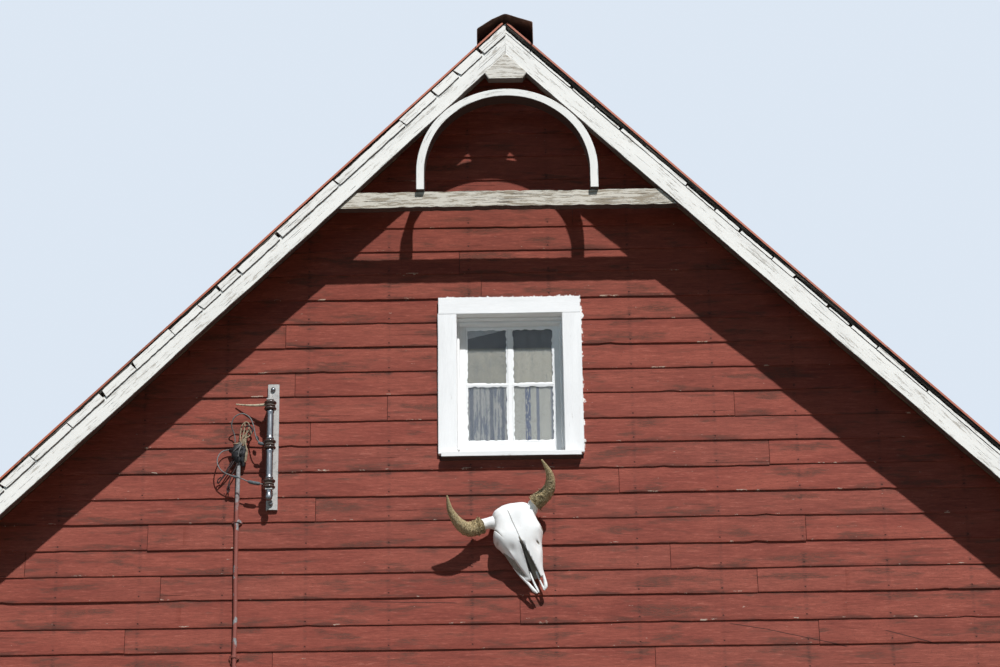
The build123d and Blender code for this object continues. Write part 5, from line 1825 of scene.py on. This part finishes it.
# Paths and radii: both horn cores, both outer and both inner prongs of the nose
SKULL_BONES = (
    ([(0.024, -0.080, 0.085), (0.014, -0.112, 0.092), (0.010, -0.142, 0.098),
      (0.011, -0.176, 0.104)], (0.042, 0.033, 0.027, 0.029)),
    ([(0.025, 0.070, 0.088), (0.008, 0.092, 0.098), (-0.006, 0.106, 0.106),
      (-0.012, 0.118, 0.112)], (0.036, 0.031, 0.028, 0.027)),
    ([(0.255, -0.082, 0.070), (0.310, -0.066, 0.072), (0.360, -0.046, 0.070),
      (0.400, -0.031, 0.068), (0.417, -0.020, 0.066)], (0.010, 0.009, 0.0075, 0.0085, 0.004)),
    ([(0.255, 0.052, 0.074), (0.310, 0.038, 0.074), (0.360, 0.036, 0.070),
      (0.397, 0.030, 0.068), (0.414, 0.016, 0.066)], (0.011, 0.008, 0.0075, 0.009, 0.004)),
    ([(0.300, -0.024, 0.072), (0.350, -0.020, 0.070), (0.400, -0.014, 0.067),
      (0.416, -0.012, 0.065)], (0.007, 0.005, 0.005, 0.003)),
    ([(0.310, 0.010, 0.070), (0.355, 0.012, 0.068), (0.398, 0.016, 0.066),
      (0.412, 0.015, 0.064)], (0.006, 0.004, 0.005, 0.003)),
)

piece("steer_cranium", [cranium()], skull_bone, "bone", crease=70)
piece("steer_skull_bone", [swept_bone(path, radii, 911 + index)
                           for index, (path, radii) in enumerate(SKULL_BONES)],
      white_bone, "bone", "skull", crease=70)


def horn(path, radii, seed):
    """A horn along a smooth curve in (a, b, c), its base lumpy in rings, its tip smooth."""
    line, radius, t = smooth_path(np.asarray(path, float), radii, 90)
    sides = 36
    centre = skull_points(*line.T)
    made = tube(centre, radius, sides)
    centre = centre.repeat(sides, axis=0)
    spoke = made.points - centre
    share = np.repeat(t / t[-1], sides)
    turn = np.tile(np.arange(sides) * (2 * math.pi / sides), len(t))
    rng = np.random.default_rng(seed)
    lumps = (np.sin(turn * 7 + share * 60) * np.sin(turn * 11 - share * 95)
             + rng.uniform(-1, 1, len(share)) * 0.8)
    rings = np.sin(share * 120 + np.sin(turn * 2))
    spikes = np.clip(rng.uniform(-1, 1, len(share)) - 0.86, 0, 1) * 5.0 * (share < 0.55)
    swell = 1 + np.clip(1 - share * 1.2, 0, 1) * (0.12 * lumps + 0.05 * rings + 0.55 * spikes)
    swell = swell + 0.015 * lumps
    swell = swell + 0.16 * np.clip(1 - share / 0.035, 0, 1) * (0.6 + 0.4 * np.sin(turn * 9))
    made.points = centre + spoke * swell[:, None]
    return made


horns = [
    horn([(0.011, -0.170, 0.103), (0.018, -0.204, 0.112), (0.018, -0.242, 0.132),
          (-0.012, -0.278, 0.175), (-0.068, -0.300, 0.225), (-0.128, -0.296, 0.275)],
         (0.0365, 0.0360, 0.0330, 0.0260, 0.0160, 0.0040), 921),
    horn([(-0.008, 0.112, 0.110), (-0.018, 0.140, 0.120), (-0.030, 0.178, 0.138),
          (-0.052, 0.206, 0.170), (-0.095, 0.218, 0.215), (-0.158, 0.200, 0.268)],
         (0.0375, 0.0370, 0.0330, 0.0265, 0.0175, 0.0040), 922),
]
piece("steer_horns", horns, tan_horn, "bone", crease=80)


bpy.context.view_layer.update()
